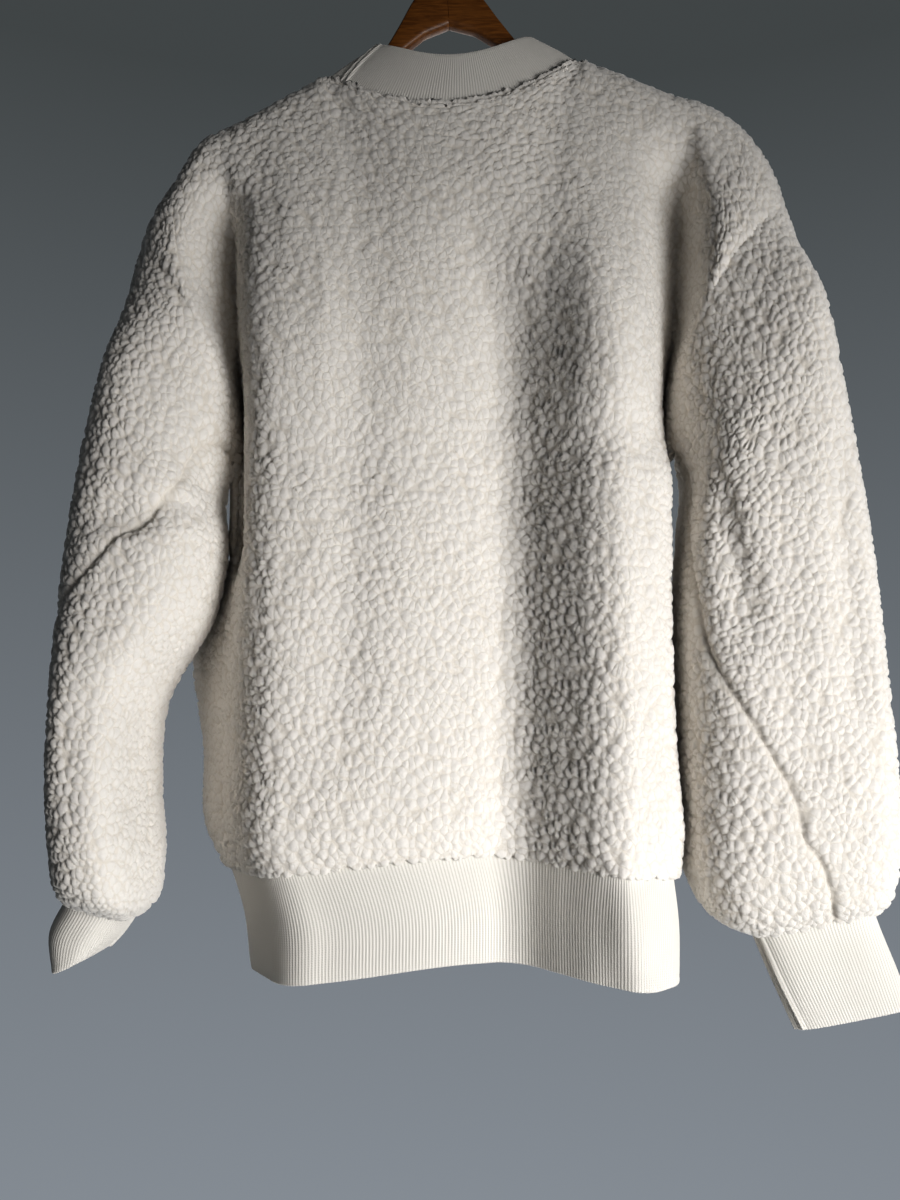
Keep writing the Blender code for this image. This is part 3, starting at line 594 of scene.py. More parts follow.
def distance_to_line(points, line):
    """The least distance of each point from a line through points."""
    nearest = np.full(points.shape[:-1], np.inf)
    for start, end in zip(line, line[1:]):
        way = end - start
        share = np.clip(((points - start) @ way) / (way @ way), 0, 1)
        gap = np.linalg.norm(points - start - share[..., None] * way, axis=-1)
        nearest = np.minimum(nearest, gap)
    return nearest


def grid_faces(rows, columns, closed, first=0):
    """The four corners of each cell of a grid whose points are counted row by row."""
    cells = np.arange(columns if closed else columns - 1)
    row, column = np.meshgrid(np.arange(rows - 1), cells, indexing="ij")
    upper, lower, after = row * columns, (row + 1) * columns, (column + 1) % columns
    corners = np.stack((upper + column, upper + after, lower + after, lower + column), -1)
    return (corners.reshape(-1, 4) + first).tolist()


def stitched(upper, lower):
    """Triangles that join two lines of points, which may differ in count."""
    faces, i, j = [], 0, 0
    last_upper, last_lower = len(upper) - 1, len(lower) - 1
    while i < last_upper or j < last_lower:
        if j == last_lower or (i < last_upper and (i + 1) / last_upper <= (j + 1) / last_lower):
            faces.append((upper[i], upper[i + 1], lower[j]))
            i += 1
        else:
            faces.append((upper[i], lower[j + 1], lower[j]))
            j += 1
    return faces


def link(name, data, *materials):
    for material in materials:
        data.materials.append(material)
    made = bpy.data.objects.new(name, data)
    bpy.context.scene.collection.objects.link(made)
    return made


def mesh_of(name, points, faces):
    """A smooth closed mesh whose faces look outwards."""
    data = bpy.data.meshes.new(name)
    data.from_pydata(points.tolist(), [], [tuple(int(corner) for corner in face) for face in faces])
    work = bmesh.new()
    work.from_mesh(data)
    bmesh.ops.recalc_face_normals(work, faces=work.faces)
    work.to_mesh(data)
    work.free()
    data.shade_smooth()
    return data


def both_sides(outer, inner):
    """The values of a wall's outer grid and of its inner one, point by point."""
    return np.concatenate([outer.reshape(-1, 3), inner.reshape(-1, 3)])


def wall_mesh(name, outer, inner, closed):
    """A closed wall between a fine outer grid and a coarser inner one."""
    rows, columns = outer.shape[:2]
    inner_rows, inner_columns = inner.shape[:2]
    first = rows * columns
    faces = grid_faces(rows, columns, closed) + grid_faces(inner_rows, inner_columns, closed, first)
    outside = np.arange(first).reshape(rows, columns)
    inside = first + np.arange(inner_rows * inner_columns).reshape(inner_rows, inner_columns)
    for end in (0, -1):
        upper, lower = list(outside[end]), list(inside[end])
        if closed:
            upper, lower = upper + upper[:1], lower + lower[:1]
        faces += stitched(upper, lower)
        if not closed:
            faces += stitched(list(outside[:, end]), list(inside[:, end]))
    return mesh_of(name, both_sides(outer, inner) + CLOTH_SHIFT, faces)


def store(data, name, kind, values):
    """Keeps a value for each point of a mesh, for its pile and its finish."""
    kept = data.attributes.new(name, kind, "POINT").data
    values = np.asarray(values, np.float32).ravel()
    kept.foreach_set("vector" if kind == "FLOAT_VECTOR" else "value", values)


# --- Nodes ---


def linear(colour):
    """An sRGB hex colour as linear red, green, blue and alpha."""
    shares = [int(colour[i : i + 2], 16) / 255 for i in (1, 3, 5)]
    return (*[s / 12.92 if s <= 0.04045 else ((s + 0.055) / 1.055) ** 2.4 for s in shares], 1)


def add(tree, kind, inputs=None, **settings):
    """Adds a node with its settings, and links or sets its inputs."""
    made = tree.nodes.new(kind)
    for name, value in settings.items():
        setattr(made, name, value)
    for name, value in (inputs or {}).items():
        if isinstance(value, bpy.types.Node):
            value = value.outputs[0]
        if isinstance(value, bpy.types.NodeSocket):
            tree.links.new(value, made.inputs[name])
        else:
            made.inputs[name].default_value = value
    return made


def curl_crowns(tree, place):
    """The round crowns of the curls, 1 at their tops, and how clear of the gaps a place is. The curls hang
    a little longer than they are wide, and in matted patches they close up and their gaps fill."""
    lengthened = {0: place, 1: (1, 1, 1 / CURL_LENGTHENED)}
    place = add(tree, "ShaderNodeVectorMath", lengthened, operation="MULTIPLY")
    stray = {"Vector": place, "Scale": 1 / (2.2 * CURL_SIZE), "Detail": 3.0, "Roughness": 0.68}
    stray = {0: add(tree, "ShaderNodeTexNoise", stray).outputs["Color"], 1: (0.5, 0.5, 0.5)}
    stray = add(tree, "ShaderNodeVectorMath", stray, operation="SUBTRACT")
    stray = add(tree, "ShaderNodeVectorMath", {0: stray, "Scale": 2 * CURL_WANDER}, operation="SCALE")
    cells = {"Vector": add(tree, "ShaderNodeVectorMath", {0: place, 1: stray}, operation="ADD")}
    cells["Scale"] = 1 / CURL_SIZE
    curl = add(tree, "ShaderNodeTexVoronoi", cells).outputs["Distance"]
    gap = add(tree, "ShaderNodeTexVoronoi", cells, feature="DISTANCE_TO_EDGE").outputs["Distance"]
    crown = add(tree, "ShaderNodeMath", {0: curl, 1: curl}, operation="MULTIPLY")
    crown = add(tree, "ShaderNodeMath", {0: crown, 1: -0.8, 2: 1.0}, operation="MULTIPLY_ADD", use_clamp=True)
    away = {"Value": gap, "From Max": 0.15, "To Min": 0.4, "To Max": 1.0}
    away = add(tree, "ShaderNodeMapRange", away, interpolation_type="SMOOTHSTEP")
    matted = {"Vector": cells["Vector"], "Scale": 1 / MATTED_PATCH, "Detail": 1.0}
    matted = add(tree, "ShaderNodeTexNoise", matted).outputs["Fac"]
    matted = {"Value": matted, "From Min": 0.3, "From Max": 0.55, "To Min": 0.8}
    matted = add(tree, "ShaderNodeMapRange", matted)
    crown = add(tree, "ShaderNodeMath", {0: crown, 1: away}, operation="MULTIPLY")
    crown = add(tree, "ShaderNodeMix", {"Factor": matted, "A": 0.62, "B": crown})
    return crown, add(tree, "ShaderNodeMix", {"Factor": matted, "A": 1.0, "B": away})


def curled_pile():
    """Geometry nodes that raise the curls of the pile and keep how high they stand."""
    tree = bpy.data.node_groups.new("curled_pile", "GeometryNodeTree")
    tree.interface.new_socket("Geometry", in_out="INPUT", socket_type="NodeSocketGeometry")
    tree.interface.new_socket("Geometry", in_out="OUTPUT", socket_type="NodeSocketGeometry")
    cloth = add(tree, "NodeGroupInput")
    place = add(tree, "GeometryNodeInputNamedAttribute", {"Name": "place"}, data_type="FLOAT_VECTOR")
    pile = add(tree, "GeometryNodeInputNamedAttribute", {"Name": "pile"}, data_type="FLOAT")
    height, _ = curl_crowns(tree, place.outputs["Attribute"])
    rise = add(tree, "ShaderNodeMath", {0: height, 1: pile.outputs["Attribute"]}, operation="MULTIPLY")
    length = add(tree, "ShaderNodeMath", {0: rise, 1: CURL_HEIGHT}, operation="MULTIPLY")
    normal = add(tree, "GeometryNodeInputNormal")
    up = add(tree, "ShaderNodeVectorMath", {0: normal, "Scale": length}, operation="SCALE")
    moved = add(tree, "GeometryNodeSetPosition", {"Geometry": cloth, "Offset": up})
    kept = add(tree, "GeometryNodeStoreNamedAttribute", {"Geometry": moved, "Name": "curl", "Value": rise})
    add(tree, "NodeGroupOutput", {"Geometry": kept})
    return tree


def material(name, **shader_values):
    """A material with a Principled shader set to plain values."""
    made = bpy.data.materials.new(name)
    made.use_nodes = True
    tree = made.node_tree
    shader = tree.nodes["Principled BSDF"]
    for socket, value in shader_values.items():
        shader.inputs[socket.replace("_", " ").title().replace("Ior", "IOR")].default_value = value
    return made, tree, shader


def sherpa_fleece():
    """Polyester sherpa: a knitted ground whose brushed pile is tumbled into small tight curls. Matt and
    soft. Its colour has painted shade: bright on the crowns, warm and darker low down and in the gaps."""
    made, tree, shader = material(
        "sherpa_fleece", roughness=0.95, ior=1.45, sheen_weight=0.45, sheen_roughness=0.5
    )
    place = add(tree, "ShaderNodeAttribute", attribute_name="place").outputs["Vector"]
    height = add(tree, "ShaderNodeAttribute", attribute_name="curl").outputs["Fac"]
    crown, away = curl_crowns(tree, place)
    # painted shade: the colour turns darker and warmer where the curls stand low and in the gaps between them
    shade = add(tree, "ShaderNodeMapRange", {"Value": height, "From Min": -0.1, "From Max": 0.6})
    shade = add(tree, "ShaderNodeMath", {0: shade, 1: away}, operation="MULTIPLY")
    cream_and_painted_shade = {"Factor": shade, "A": linear("#DCD4C8"), "B": linear("#EDE8E1")}
    cream_and_painted_shade = add(tree, "ShaderNodeMix", cream_and_painted_shade, data_type="RGBA")
    link_colour(tree, cream_and_painted_shade, place, shader)
    fibre = add(tree, "ShaderNodeTexNoise", {"Vector": place, "Scale": 1 / FIBRE_SIZE, "Detail": 1.0})
    fine = add(tree, "ShaderNodeMath", {0: fibre.outputs["Fac"], 1: 0.45, 2: crown}, operation="MULTIPLY_ADD")
    knot = add(tree, "ShaderNodeTexVoronoi", {"Vector": place, "Scale": 1 / KNOT_SIZE}).outputs["Distance"]
    knot = add(tree, "ShaderNodeMath", {0: knot, 1: knot}, operation="MULTIPLY")
    raised = add(tree, "ShaderNodeMath", {0: knot, 1: -0.9, 2: fine}, operation="MULTIPLY_ADD")
    bump = add(tree, "ShaderNodeBump", {"Height": raised, "Distance": 1.1 * MM, "Strength": 0.7})
    lay = add(tree, "ShaderNodeAttribute", attribute_name="lay").outputs["Vector"]
    lay = add(tree, "ShaderNodeVectorMath", {0: lay, "Scale": PILE_SOFTNESS}, operation="SCALE")
    lit = add(tree, "ShaderNodeVectorMath", {0: bump, 1: lay}, operation="ADD")
    lit = add(tree, "ShaderNodeVectorMath", {0: lit}, operation="NORMALIZE")
    tree.links.new(lit.outputs[0], shader.inputs["Normal"])
    return made


def link_colour(tree, colour, place, shader):
    """Gives the cloth its colour, a little uneven from one place to another."""
    cloudy = add(tree, "ShaderNodeTexNoise", {"Vector": place, "Scale": 1 / CLOUDY_PATCH, "Detail": 1.0})
    value = add(tree, "ShaderNodeMapRange", {"Value": cloudy.outputs["Fac"], "To Min": 0.95, "To Max": 1.05})
    uneven = add(tree, "ShaderNodeHueSaturation", {"Color": colour.outputs[2], "Value": value})
    tree.links.new(uneven.outputs[0], shader.inputs["Base Color"])


def rib_knit():
    """Fine cotton rib: columns of small stitches that stand up between sunk ones. Matt, smoother and
    lighter than the fleece, with painted shade: a little darker down in the grooves."""
    made, tree, shader = material(
        "rib_knit", roughness=0.85, ior=1.45, sheen_weight=0.15, sheen_roughness=0.5
    )
    knit = add(tree, "ShaderNodeUVMap", uv_map="knit")
    part = add(tree, "ShaderNodeSeparateXYZ", {0: knit})
    across = add(tree, "ShaderNodeMath", {0: part.outputs["X"], 1: 2 * math.pi}, operation="MULTIPLY")
    wave = add(tree, "ShaderNodeMath", {0: across}, operation="COSINE")
    crest = add(tree, "ShaderNodeMath", {0: wave, 1: -0.5, 2: 0.5}, operation="MULTIPLY_ADD")
    lean = add(tree, "ShaderNodeMath", {0: wave, 1: STITCH_SLANT}, operation="MULTIPLY")
    down = {0: part.outputs["Y"], 1: 1 / STITCH_HEIGHT, 2: lean}
    down = add(tree, "ShaderNodeMath", down, operation="MULTIPLY_ADD")
    down = add(tree, "ShaderNodeMath", {0: down, 1: 2 * math.pi}, operation="MULTIPLY")
    loop = add(tree, "ShaderNodeMath", {0: down}, operation="SINE")
    loop = add(tree, "ShaderNodeMath", {0: loop, 1: STITCH_LOOP}, operation="MULTIPLY")
    raised = add(tree, "ShaderNodeMath", {0: crest, 1: loop}, operation="ADD")
    bump = add(tree, "ShaderNodeBump", {"Height": raised, "Distance": 0.3 * MM, "Strength": 0.4})
    tree.links.new(bump.outputs[0], shader.inputs["Normal"])
    # painted shade: the colour is darker down in the grooves between the ribs
    colour = {"Factor": crest, "A": linear("#E0DBD2"), "B": linear("#E9E5DE")}
    colour = add(tree, "ShaderNodeMix", colour, data_type="RGBA")
    link_colour(tree, colour, add(tree, "ShaderNodeTexCoord").outputs["Object"], shader)
    return made


def varnished_beech():
    """Beech stained honey brown under a thin rubbed varnish: fine long grain, short darker flecks and a
    soft shine."""
    made, tree, shader = material(
        "varnished_beech", roughness=0.5, ior=1.5, coat_weight=0.2, coat_roughness=0.2
    )
    place = add(tree, "ShaderNodeTexCoord").outputs["Object"]
    drawn = add(tree, "ShaderNodeMapping", {"Vector": place, "Scale": (1.0, GRAIN_DRAWN, GRAIN_DRAWN)})
    grain = {"Vector": drawn, "Scale": GRAIN_SCALE, "Detail": 6.0, "Distortion": 0.6}
    grain = add(tree, "ShaderNodeTexNoise", grain).outputs["Fac"]
    fleck = add(tree, "ShaderNodeTexNoise", {"Vector": drawn, "Scale": FLECK_SCALE, "Detail": 2.0})
    brown = add(tree, "ShaderNodeValToRGB", {"Fac": grain})
    ends = zip(brown.color_ramp.elements, ((0.35, "#653B14"), (0.68, "#8E5A25")))
    for end, (position, colour) in ends:
        end.position, end.color = position, linear(colour)
    dark = {"Value": fleck.outputs["Fac"], "From Min": 0.58, "From Max": 0.75, "To Max": 0.2}
    dark = add(tree, "ShaderNodeMapRange", dark)
    colour = {"Factor": dark, "A": brown.outputs["Color"], "B": linear("#5A2C0C")}
    colour = add(tree, "ShaderNodeMix", colour, data_type="RGBA")
    tree.links.new(colour.outputs[2], shader.inputs["Base Color"])
    bump = add(tree, "ShaderNodeBump", {"Height": grain, "Distance": 0.15 * MM, "Strength": 0.4})
    tree.links.new(bump.outputs[0], shader.inputs["Normal"])
    return made


def plated_wire():
    """Steel wire with bright nickel plating, faintly drawn along its length."""
    made, tree, shader = material("plated_wire", roughness=0.24, metallic=1.0, base_color=linear("#C9C6C0"))
    place = add(tree, "ShaderNodeTexCoord").outputs["Object"]
    drawn = add(tree, "ShaderNodeTexNoise", {"Vector": place, "Scale": 1 / (1.5 * MM), "Detail": 3.0})
    bump = {"Height": drawn.outputs["Fac"], "Distance": 0.05 * MM, "Strength": 0.3}
    bump = add(tree, "ShaderNodeBump", bump)
    tree.links.new(bump.outputs[0], shader.inputs["Normal"])
    return made


def sewing_thread():
    """Spun polyester thread, a little shinier than the cloth it closes."""
    made, tree, shader = material("sewing_thread", roughness=0.6, ior=1.5, sheen_weight=0.2)
    place = add(tree, "ShaderNodeTexCoord").outputs["Object"]
    twist = add(tree, "ShaderNodeTexNoise", {"Vector": place, "Scale": 1 / (0.6 * MM), "Detail": 1.0})
    colour = {"Factor": twist.outputs["Fac"], "A": linear("#CFC8B8"), "B": linear("#F4F0E6")}
    colour = add(tree, "ShaderNodeMix", colour, data_type="RGBA")
    tree.links.new(colour.outputs[2], shader.inputs["Base Color"])
    return made


# --- The fleece pieces ---


def raise_pile(piece, pile_nodes):
    """Raises the curls and keeps the result as the piece's own mesh."""
    piece.modifiers.new("curls", "NODES").node_group = pile_nodes
    view = bpy.context.evaluated_depsgraph_get()
    done = bpy.data.meshes.new_from_object(piece.evaluated_get(view))
    piece.modifiers.clear()
    plain, piece.data = piece.data, done
    bpy.data.meshes.remove(plain)


def fleece_piece(name, shaped, normals, pile, coarse, coarse_normals, closed, fleece, pile_nodes):
    """A fleece wall with its pile, whose height is given as a share for each outer point."""
    inner = coarse - coarse_normals * FLEECE_WALL
    data = wall_mesh(name, shaped - normals * PILE_UNDER, inner, closed)
    inside = np.zeros(inner.shape[0] * inner.shape[1])
    store(data, "place", "FLOAT_VECTOR", both_sides(shaped, inner))
    store(data, "pile", "FLOAT", np.concatenate([pile.ravel(), inside]))
    lay, rolls = normals.copy(), len(ROLL_ANGLES)
    lay[:rolls], lay[-rolls:] = lay[rolls], lay[-rolls - 1]
    store(data, "lay", "FLOAT_VECTOR", both_sides(lay, -coarse_normals))
    piece = link(name, data, fleece)
    raise_pile(piece, pile_nodes)
    return piece


def sunk(points, normals, distance, depth=EDGE_SEAM_DEPTH, reach=EDGE_SEAM_REACH):
    """The surface sunk towards a seam, by its distance from it."""
    return points - normals * (depth * hump(distance, reach))[..., None]


def rolled(points, normals, pile, end, share):
    """Adds rows that roll the pile over the grid's first or last row, the wall's edge, to its inside.
    share is how far they stand past the edge, as a part of half the wall."""
    edge, out = points[end], normals[end]
    way = edge - points[3 if end == 0 else -4]
    way = unit(way - (way * out).sum(-1, keepdims=True) * out)
    way = way * np.broadcast_to(share, edge.shape[:1])[:, None]
    reach = np.linalg.norm(way, axis=-1, keepdims=True)
    middle = edge - out * (FLEECE_WALL / 2)
    rows, facing = [], []
    for turn in np.radians(ROLL_ANGLES):
        cosine, sine = math.cos(turn), math.sin(turn)
        rows.append(middle + (out * cosine + way * sine) * (FLEECE_WALL / 2))
        facing.append(unit(out * cosine * reach + way / reach * sine))
    depth = [pile[end] * height for height in ROLL_PILE]
    grids = (rows, points), (facing, normals), (depth, pile)
    if end == 0:
        return [np.concatenate([np.array(added[::-1]), kept]) for added, kept in grids]
    return [np.concatenate([kept, np.array(added)]) for added, kept in grids]


def even_columns(panel, columns, down):
    """A panel's u at even distances along each row, so that the walls of its folds have their share."""
    fine = np.linspace(0, 1, 600)
    u, level = np.meshgrid(fine, down)
    run = run_from_start(body_points(panel, u, level), 1)
    shares = np.linspace(0, 1, columns + 1)
    even = np.array([np.interp(shares * row[-1], row, fine) for row in run])
    return even, np.broadcast_to(down[:, None], even.shape)


def softened(points, u, armpit_row):
    """The surface with the kinks under the neck points and across from armpit to armpit smoothed away."""
    rows, columns = u.shape
    drop = points[:1, :, 2] - points[:, :, 2]
    near_neck = np.clip(hump(u - NECK_FROM, KINK_WIDTH) + hump(u - NECK_TO, KINK_WIDTH), 0, 1)
    near_neck = near_neck * ease(drop / KINK_BEGINS) * (1 - ease((drop - KINK_FADES) / KINK_ENDS))
    points = mix(points, spread_mean(points, 1, columns // KINK_MEAN), near_neck[..., None])
    near_armpit = hump(np.arange(rows) - armpit_row, rows / ARMPIT_WIDTH)[:, None, None]
    return mix(points, spread_mean(points, 0, rows // ARMPIT_MEAN), near_armpit)


def spread_mean(points, axis, reach):
    """Each point's mean with those near it along one axis of the grid."""
    width = [(0, 0), (0, 0), (0, 0)]
    width[axis] = (reach, reach)
    wide = np.pad(points, width, mode="edge")
    count, shifts = points.shape[axis], range(2 * reach + 1)
    return sum(np.take(wide, range(shift, shift + count), axis) for shift in shifts) / len(shifts)


def make_panel(panel, fleece, pile_nodes):
    grids = []
    for columns, rows in ((PANEL_COLUMNS, PANEL_ROWS), (INNER_COLUMNS, INNER_ROWS)):
        upper = round(rows * UPPER_ROWS)
        down = np.concatenate([np.linspace(0, 1, upper + 1), 1 + np.linspace(0, 1, rows - upper + 1)[1:]])
        u, level = even_columns(panel, columns, down)
        points = softened(body_points(panel, u, level), u, upper)
        grids.append((u, points, normals_of(points, False, HANDED[panel])))
    (u, outer, normals), (_, coarse, coarse_normals) = grids

    from_left, from_top = run_from_start(outer, 1), run_from_start(outer, 0)
    from_side = np.minimum(from_left, from_left[:, -1:] - from_left)
    on_neck = ease((u - NECK_FROM) / NECK_END) * ease((NECK_TO - u) / NECK_END)
    shaped = sunk(outer, normals, from_side, ARMHOLE_SEAM_DEPTH)
    shaped = sunk(shaped, normals, from_top + on_neck)
    pile = 1 - EDGE_FLAT * hump(np.minimum(from_side, from_top + on_neck), SEAM_PRESSED)
    surface = rolled(shaped, normals, pile, -1, 1.0)
    surface = rolled(*surface, 0, mix(SHOULDER_ROLL, NECK_ROLL, on_neck[0]))
    name = f"{panel}_sherpa"
    return fleece_piece(name, *surface, coarse, coarse_normals, False, fleece, pile_nodes)


def seam_line(side, tube, shares):
    """The closing seam's place on a sleeve's surface, row by row."""
    path = table("share turn", CLOSING_SEAMS[side])
    turn = through(path["share"], path["turn"].astype(float), shares) % 360
    place = turn / 360 * tube.shape[1]
    before = np.floor(place).astype(int) % tube.shape[1]
    row = np.arange(len(shares))
    return mix(tube[row, before], tube[row, (before + 1) % tube.shape[1]], (place % 1)[:, None])


def make_sleeve(side, fleece, pile_nodes):
    rows, inner_rows = (np.linspace(0, 1, count + 1) for count in (SLEEVE_ROWS, INNER_ROWS))
    fine = sleeve_points(side, 3 * SLEEVE_COLUMNS, rows)
    outer = evened(fine, SLEEVE_COLUMNS)
    coarse = evened(sleeve_points(side, 6 * INNER_COLUMNS, inner_rows), INNER_COLUMNS)
    normals, coarse_normals = (normals_of(points, True, HANDED[side]) for points in (outer, coarse))

    from_armhole = run_from_start(outer, 0)
    seam = seam_line(side, fine, rows)
    from_seam = distance_to_line(outer, seam[:: max(1, SLEEVE_ROWS // 80)])
    shaped = sunk(outer, normals, from_seam, SEAM_DEPTH, SEAM_HALF_WIDTH)
    shaped = sunk(shaped, normals, from_armhole, ARMHOLE_SEAM_DEPTH)
    pressed, at_armhole = hump(from_seam, SEAM_PRESSED), hump(from_armhole, SEAM_PRESSED)
    surface = rolled(shaped, normals, 1 - CLOSING_FLAT * pressed - EDGE_FLAT * at_armhole, -1, 1.0)
    surface = rolled(*surface, 0, 1.0)
    name = f"sleeve_{side}_sherpa"
    piece = fleece_piece(name, *surface, coarse, coarse_normals, True, fleece, pile_nodes)
    facing = unit(seam_line(side, normals_of(fine, True, HANDED[side]), rows))
    return piece, (seam - facing * (PILE_UNDER + SEAM_DEPTH - THREAD_STANDS), facing)


# --- The rib bands ---


def band_rows(rings, normals):
    """A band's section as one run of rows: down its outside, round its fold and back up its inside."""
    middle = rings - normals * (RIB_WALL / 2)
    foot = middle[-1]
    on = unit(foot - middle[-3])
    rows = list(rings)
    for turn in np.linspace(0, math.pi, FOLD_ROWS + 2)[1:-1]:
        out = normals[-1] * math.cos(turn) + on * math.sin(turn)
        rows.append(foot + out * (RIB_WALL / 2))
    for share in np.linspace(1, 0, INSIDE_ROWS + 1):
        at = share * (len(rings) - 1)
        low = min(int(at), len(rings) - 2)
        line = mix(middle[low], middle[low + 1], at - low)
        facing = unit(mix(normals[low], normals[low + 1], at - low))
        rows.append(line - facing * (RIB_WALL / 2))
    return np.array(rows)


def rib_band(name, rings, turned, ribs, rib, ridge=None):
    """A rib band through fine rings, with its ribs raised inside and out."""
    normals = normals_of(rings, True, turned)
    flat = rings - normals * (RIB_HEIGHT / 2)
    rows = band_rows(flat, normals)
    facing = normals_of(rows, True, turned)
    count = rows.shape[1]
    wale = np.arange(count) * ribs / count
    raised = np.sin(math.pi * wale) ** 2 * RIB_HEIGHT
    rows = rows + facing * raised[None, :, None]
    if ridge is not None:
        rows[: len(rings)] += normals * ridge[..., None]
    last = (len(rows) - 1) * count
    start, end = [*range(count), 0], [*range(last, last + count), last]
    faces = grid_faces(len(rows), count, True) + stitched(start, end)
    data = mesh_of(name, rows.reshape(-1, 3) + CLOTH_SHIFT, faces)
    down = run_from_start(rows, 0)
    uv = data.uv_layers.new(name="knit")
    corner = np.zeros(len(data.loops), int)
    data.loops.foreach_get("vertex_index", corner)
    column, row = corner % count, corner // count
    across = wale[column].copy()
    starts = np.zeros(len(data.polygons), int)
    data.polygons.foreach_get("loop_start", starts)
    face_of = np.repeat(np.arange(len(starts)), np.diff(np.append(starts, len(corner))))
    widest = np.maximum.reduceat(across, starts)[face_of]
    across[(widest > 0.75 * ribs) & (across < 0.25 * ribs)] += ribs
    uv.data.foreach_set("uv", np.stack([across, down[row, column]], -1).astype(np.float32).ravel())
    return link(name, data, rib)


def band_under(edge, normals, turned):
    """Where a rib band starts at the edge of a fleece wall: within the wall's depth, a gap past it."""
    along = np.roll(edge, -1, axis=0) - np.roll(edge, 1, axis=0)
    way = unit(np.cross(along, normals)) * turned
    return edge - normals * (FLEECE_WALL - RIB_WALL) + way * BAND_GAP


def even_shares(panel, count):
    """Shares of a panel's width that put the hem band's points at even distances."""
    fine = np.linspace(0, 1, 2001)
    across, y = band_section(panel, HEM_MIDDLE, fine)
    run = run_from_start(np.stack([across, y, 0 * fine], -1)[None], 1)[0]
    return np.interp(np.linspace(0, run[-1], count + 1), run, fine)


def make_hem_band(rib):
    u = np.linspace(0, 1, 400)
    girth = 0.0
    for panel in ("back", "front"):
        across, y = level_section(BAND_SECTIONS[panel], np.full(u.shape, HEM_MIDDLE), u)
        girth += np.hypot(np.diff(across), np.diff(y)).sum()
    half_ribs = round(girth / RIB_PITCH / 2)
    around = [even_shares(panel, half_ribs * POINTS_A_RIB) for panel in ("back", "front")]
    start = band_under(*body_edge(*around, (1.98, 1.99, 2.0), -1), 1)
    rings = np.array([start, *band_points(*around, (0.5, 1.0))])
    rings = through((0, 1, 2), rings, np.linspace(0, 2, HEM_ROWS + 1))
    return rib_band("hem_band_rib", rings, 1, 2 * half_ribs, rib)


def neckband_top(turn):
    """The neckband's top edge at these angles, over the back from left to right and the front back."""
    half_across, half_y = (size * MM for size in NECKBAND_TOP_HALF)
    middle = np.array(NECKBAND_TOP_MIDDLE) * MM
    across = middle[0] + half_across * np.cos(turn)
    y = middle[1] - half_y * np.sin(turn)
    rightwards, backwards, ends = NECKBAND_TOP_RISE
    rise = rightwards * np.cos(turn) + backwards * np.sin(turn) + ends * np.cos(2 * turn)
    return np.stack([across, y, middle[2] + rise * MM], -1)


def make_neckband(rib):
    half_count = NECKBAND_RIBS // 2 * POINTS_A_RIB
    u = mix(NECK_FROM + 1e-6, NECK_TO - 1e-6, np.linspace(0, 1, half_count + 1))
    edge, normals = body_edge(u, u, (0, 0.01, 0.02), 0)
    start = band_under(edge, smoothed_round(normals, half_count // 20), -1)
    end = neckband_top(math.pi - math.pi * np.arange(2 * half_count) / half_count)
    middle = (start + end) / 2 + np.array([0, 0, NECKBAND_SWELL])
    rings = through((0, 1, 2), np.array([start, middle, end]), np.linspace(0, 2, NECKBAND_ROWS + 1))
    return rib_band("neckband_rib", rings, -1, NECKBAND_RIBS, rib, joined(rings, *NECKBAND_JOIN))


def joined(rings, foot_turn, edge_turn):
    """How far a band's join stands up: two fine ridges, from one share of its turn at its foot to another
    at its edge."""
    count = rings.shape[1]
    centre = mix(foot_turn, edge_turn, np.linspace(0, 1, len(rings)))[:, None] * count
    pitch = girth_of(rings)[:, None] / count
    away = (np.arange(count)[None] - centre) * pitch
    return JOIN_HEIGHT * (hump(away - JOIN_HALF, JOIN_WIDTH) + hump(away + JOIN_HALF, JOIN_WIDTH))


def smoothed_round(values, reach):
    """Each value averaged with those near it round a closed line."""
    return unit(sum(np.roll(values, shift, axis=0) for shift in range(-reach, reach + 1)))


def make_cuff(side, rib):
    sizes, turned = CUFF_RINGS[side], HANDED[side]
    middle = ring_points(side, sizes[1], np.linspace(0, 2 * math.pi, 800))
    ribs = round(np.linalg.norm(np.diff(middle, axis=0), axis=1).sum() / RIB_PITCH)
    count = ribs * POINTS_A_RIB
    turn = 2 * math.pi * np.arange(4 * count) / (4 * count)
    last = sleeve_points(side, 4 * count, np.array([0.97, 0.985, 1.0]))
    start = band_under(last[-1], normals_of(last, True, turned)[-1], turned)
    rings = [start] + [ring_points(side, size, turn) for size in sizes]
    places = np.linspace(0, len(rings) - 1, CUFF_ROWS + 1)
    rings = evened(through(np.arange(len(rings)), np.array(rings), places), count)
    return rib_band(f"cuff_{side}_rib", rings, turned, ribs, rib, joined(rings, *CUFF_JOINS[side]))


# --- Hanger and hook ---


def hanger_ring(along, top, under, half_thickness):
    """A rounded upright section of the hanger."""
    corner = min(HANGER_EDGE, half_thickness, (top - under) / 2)
    ring = []
    for side, height, turn in ((1, top, 0), (-1, top, 90), (-1, under, 180), (1, under, 270)):
        middle_y = side * (half_thickness - corner)
        middle_height = height - corner if height == top else height + corner
        for angle in np.radians(np.linspace(turn, turn + 90, 6)):
            y = middle_y + corner * math.cos(angle)
            ring.append((along, y, middle_height + corner * math.sin(angle)))
    return ring


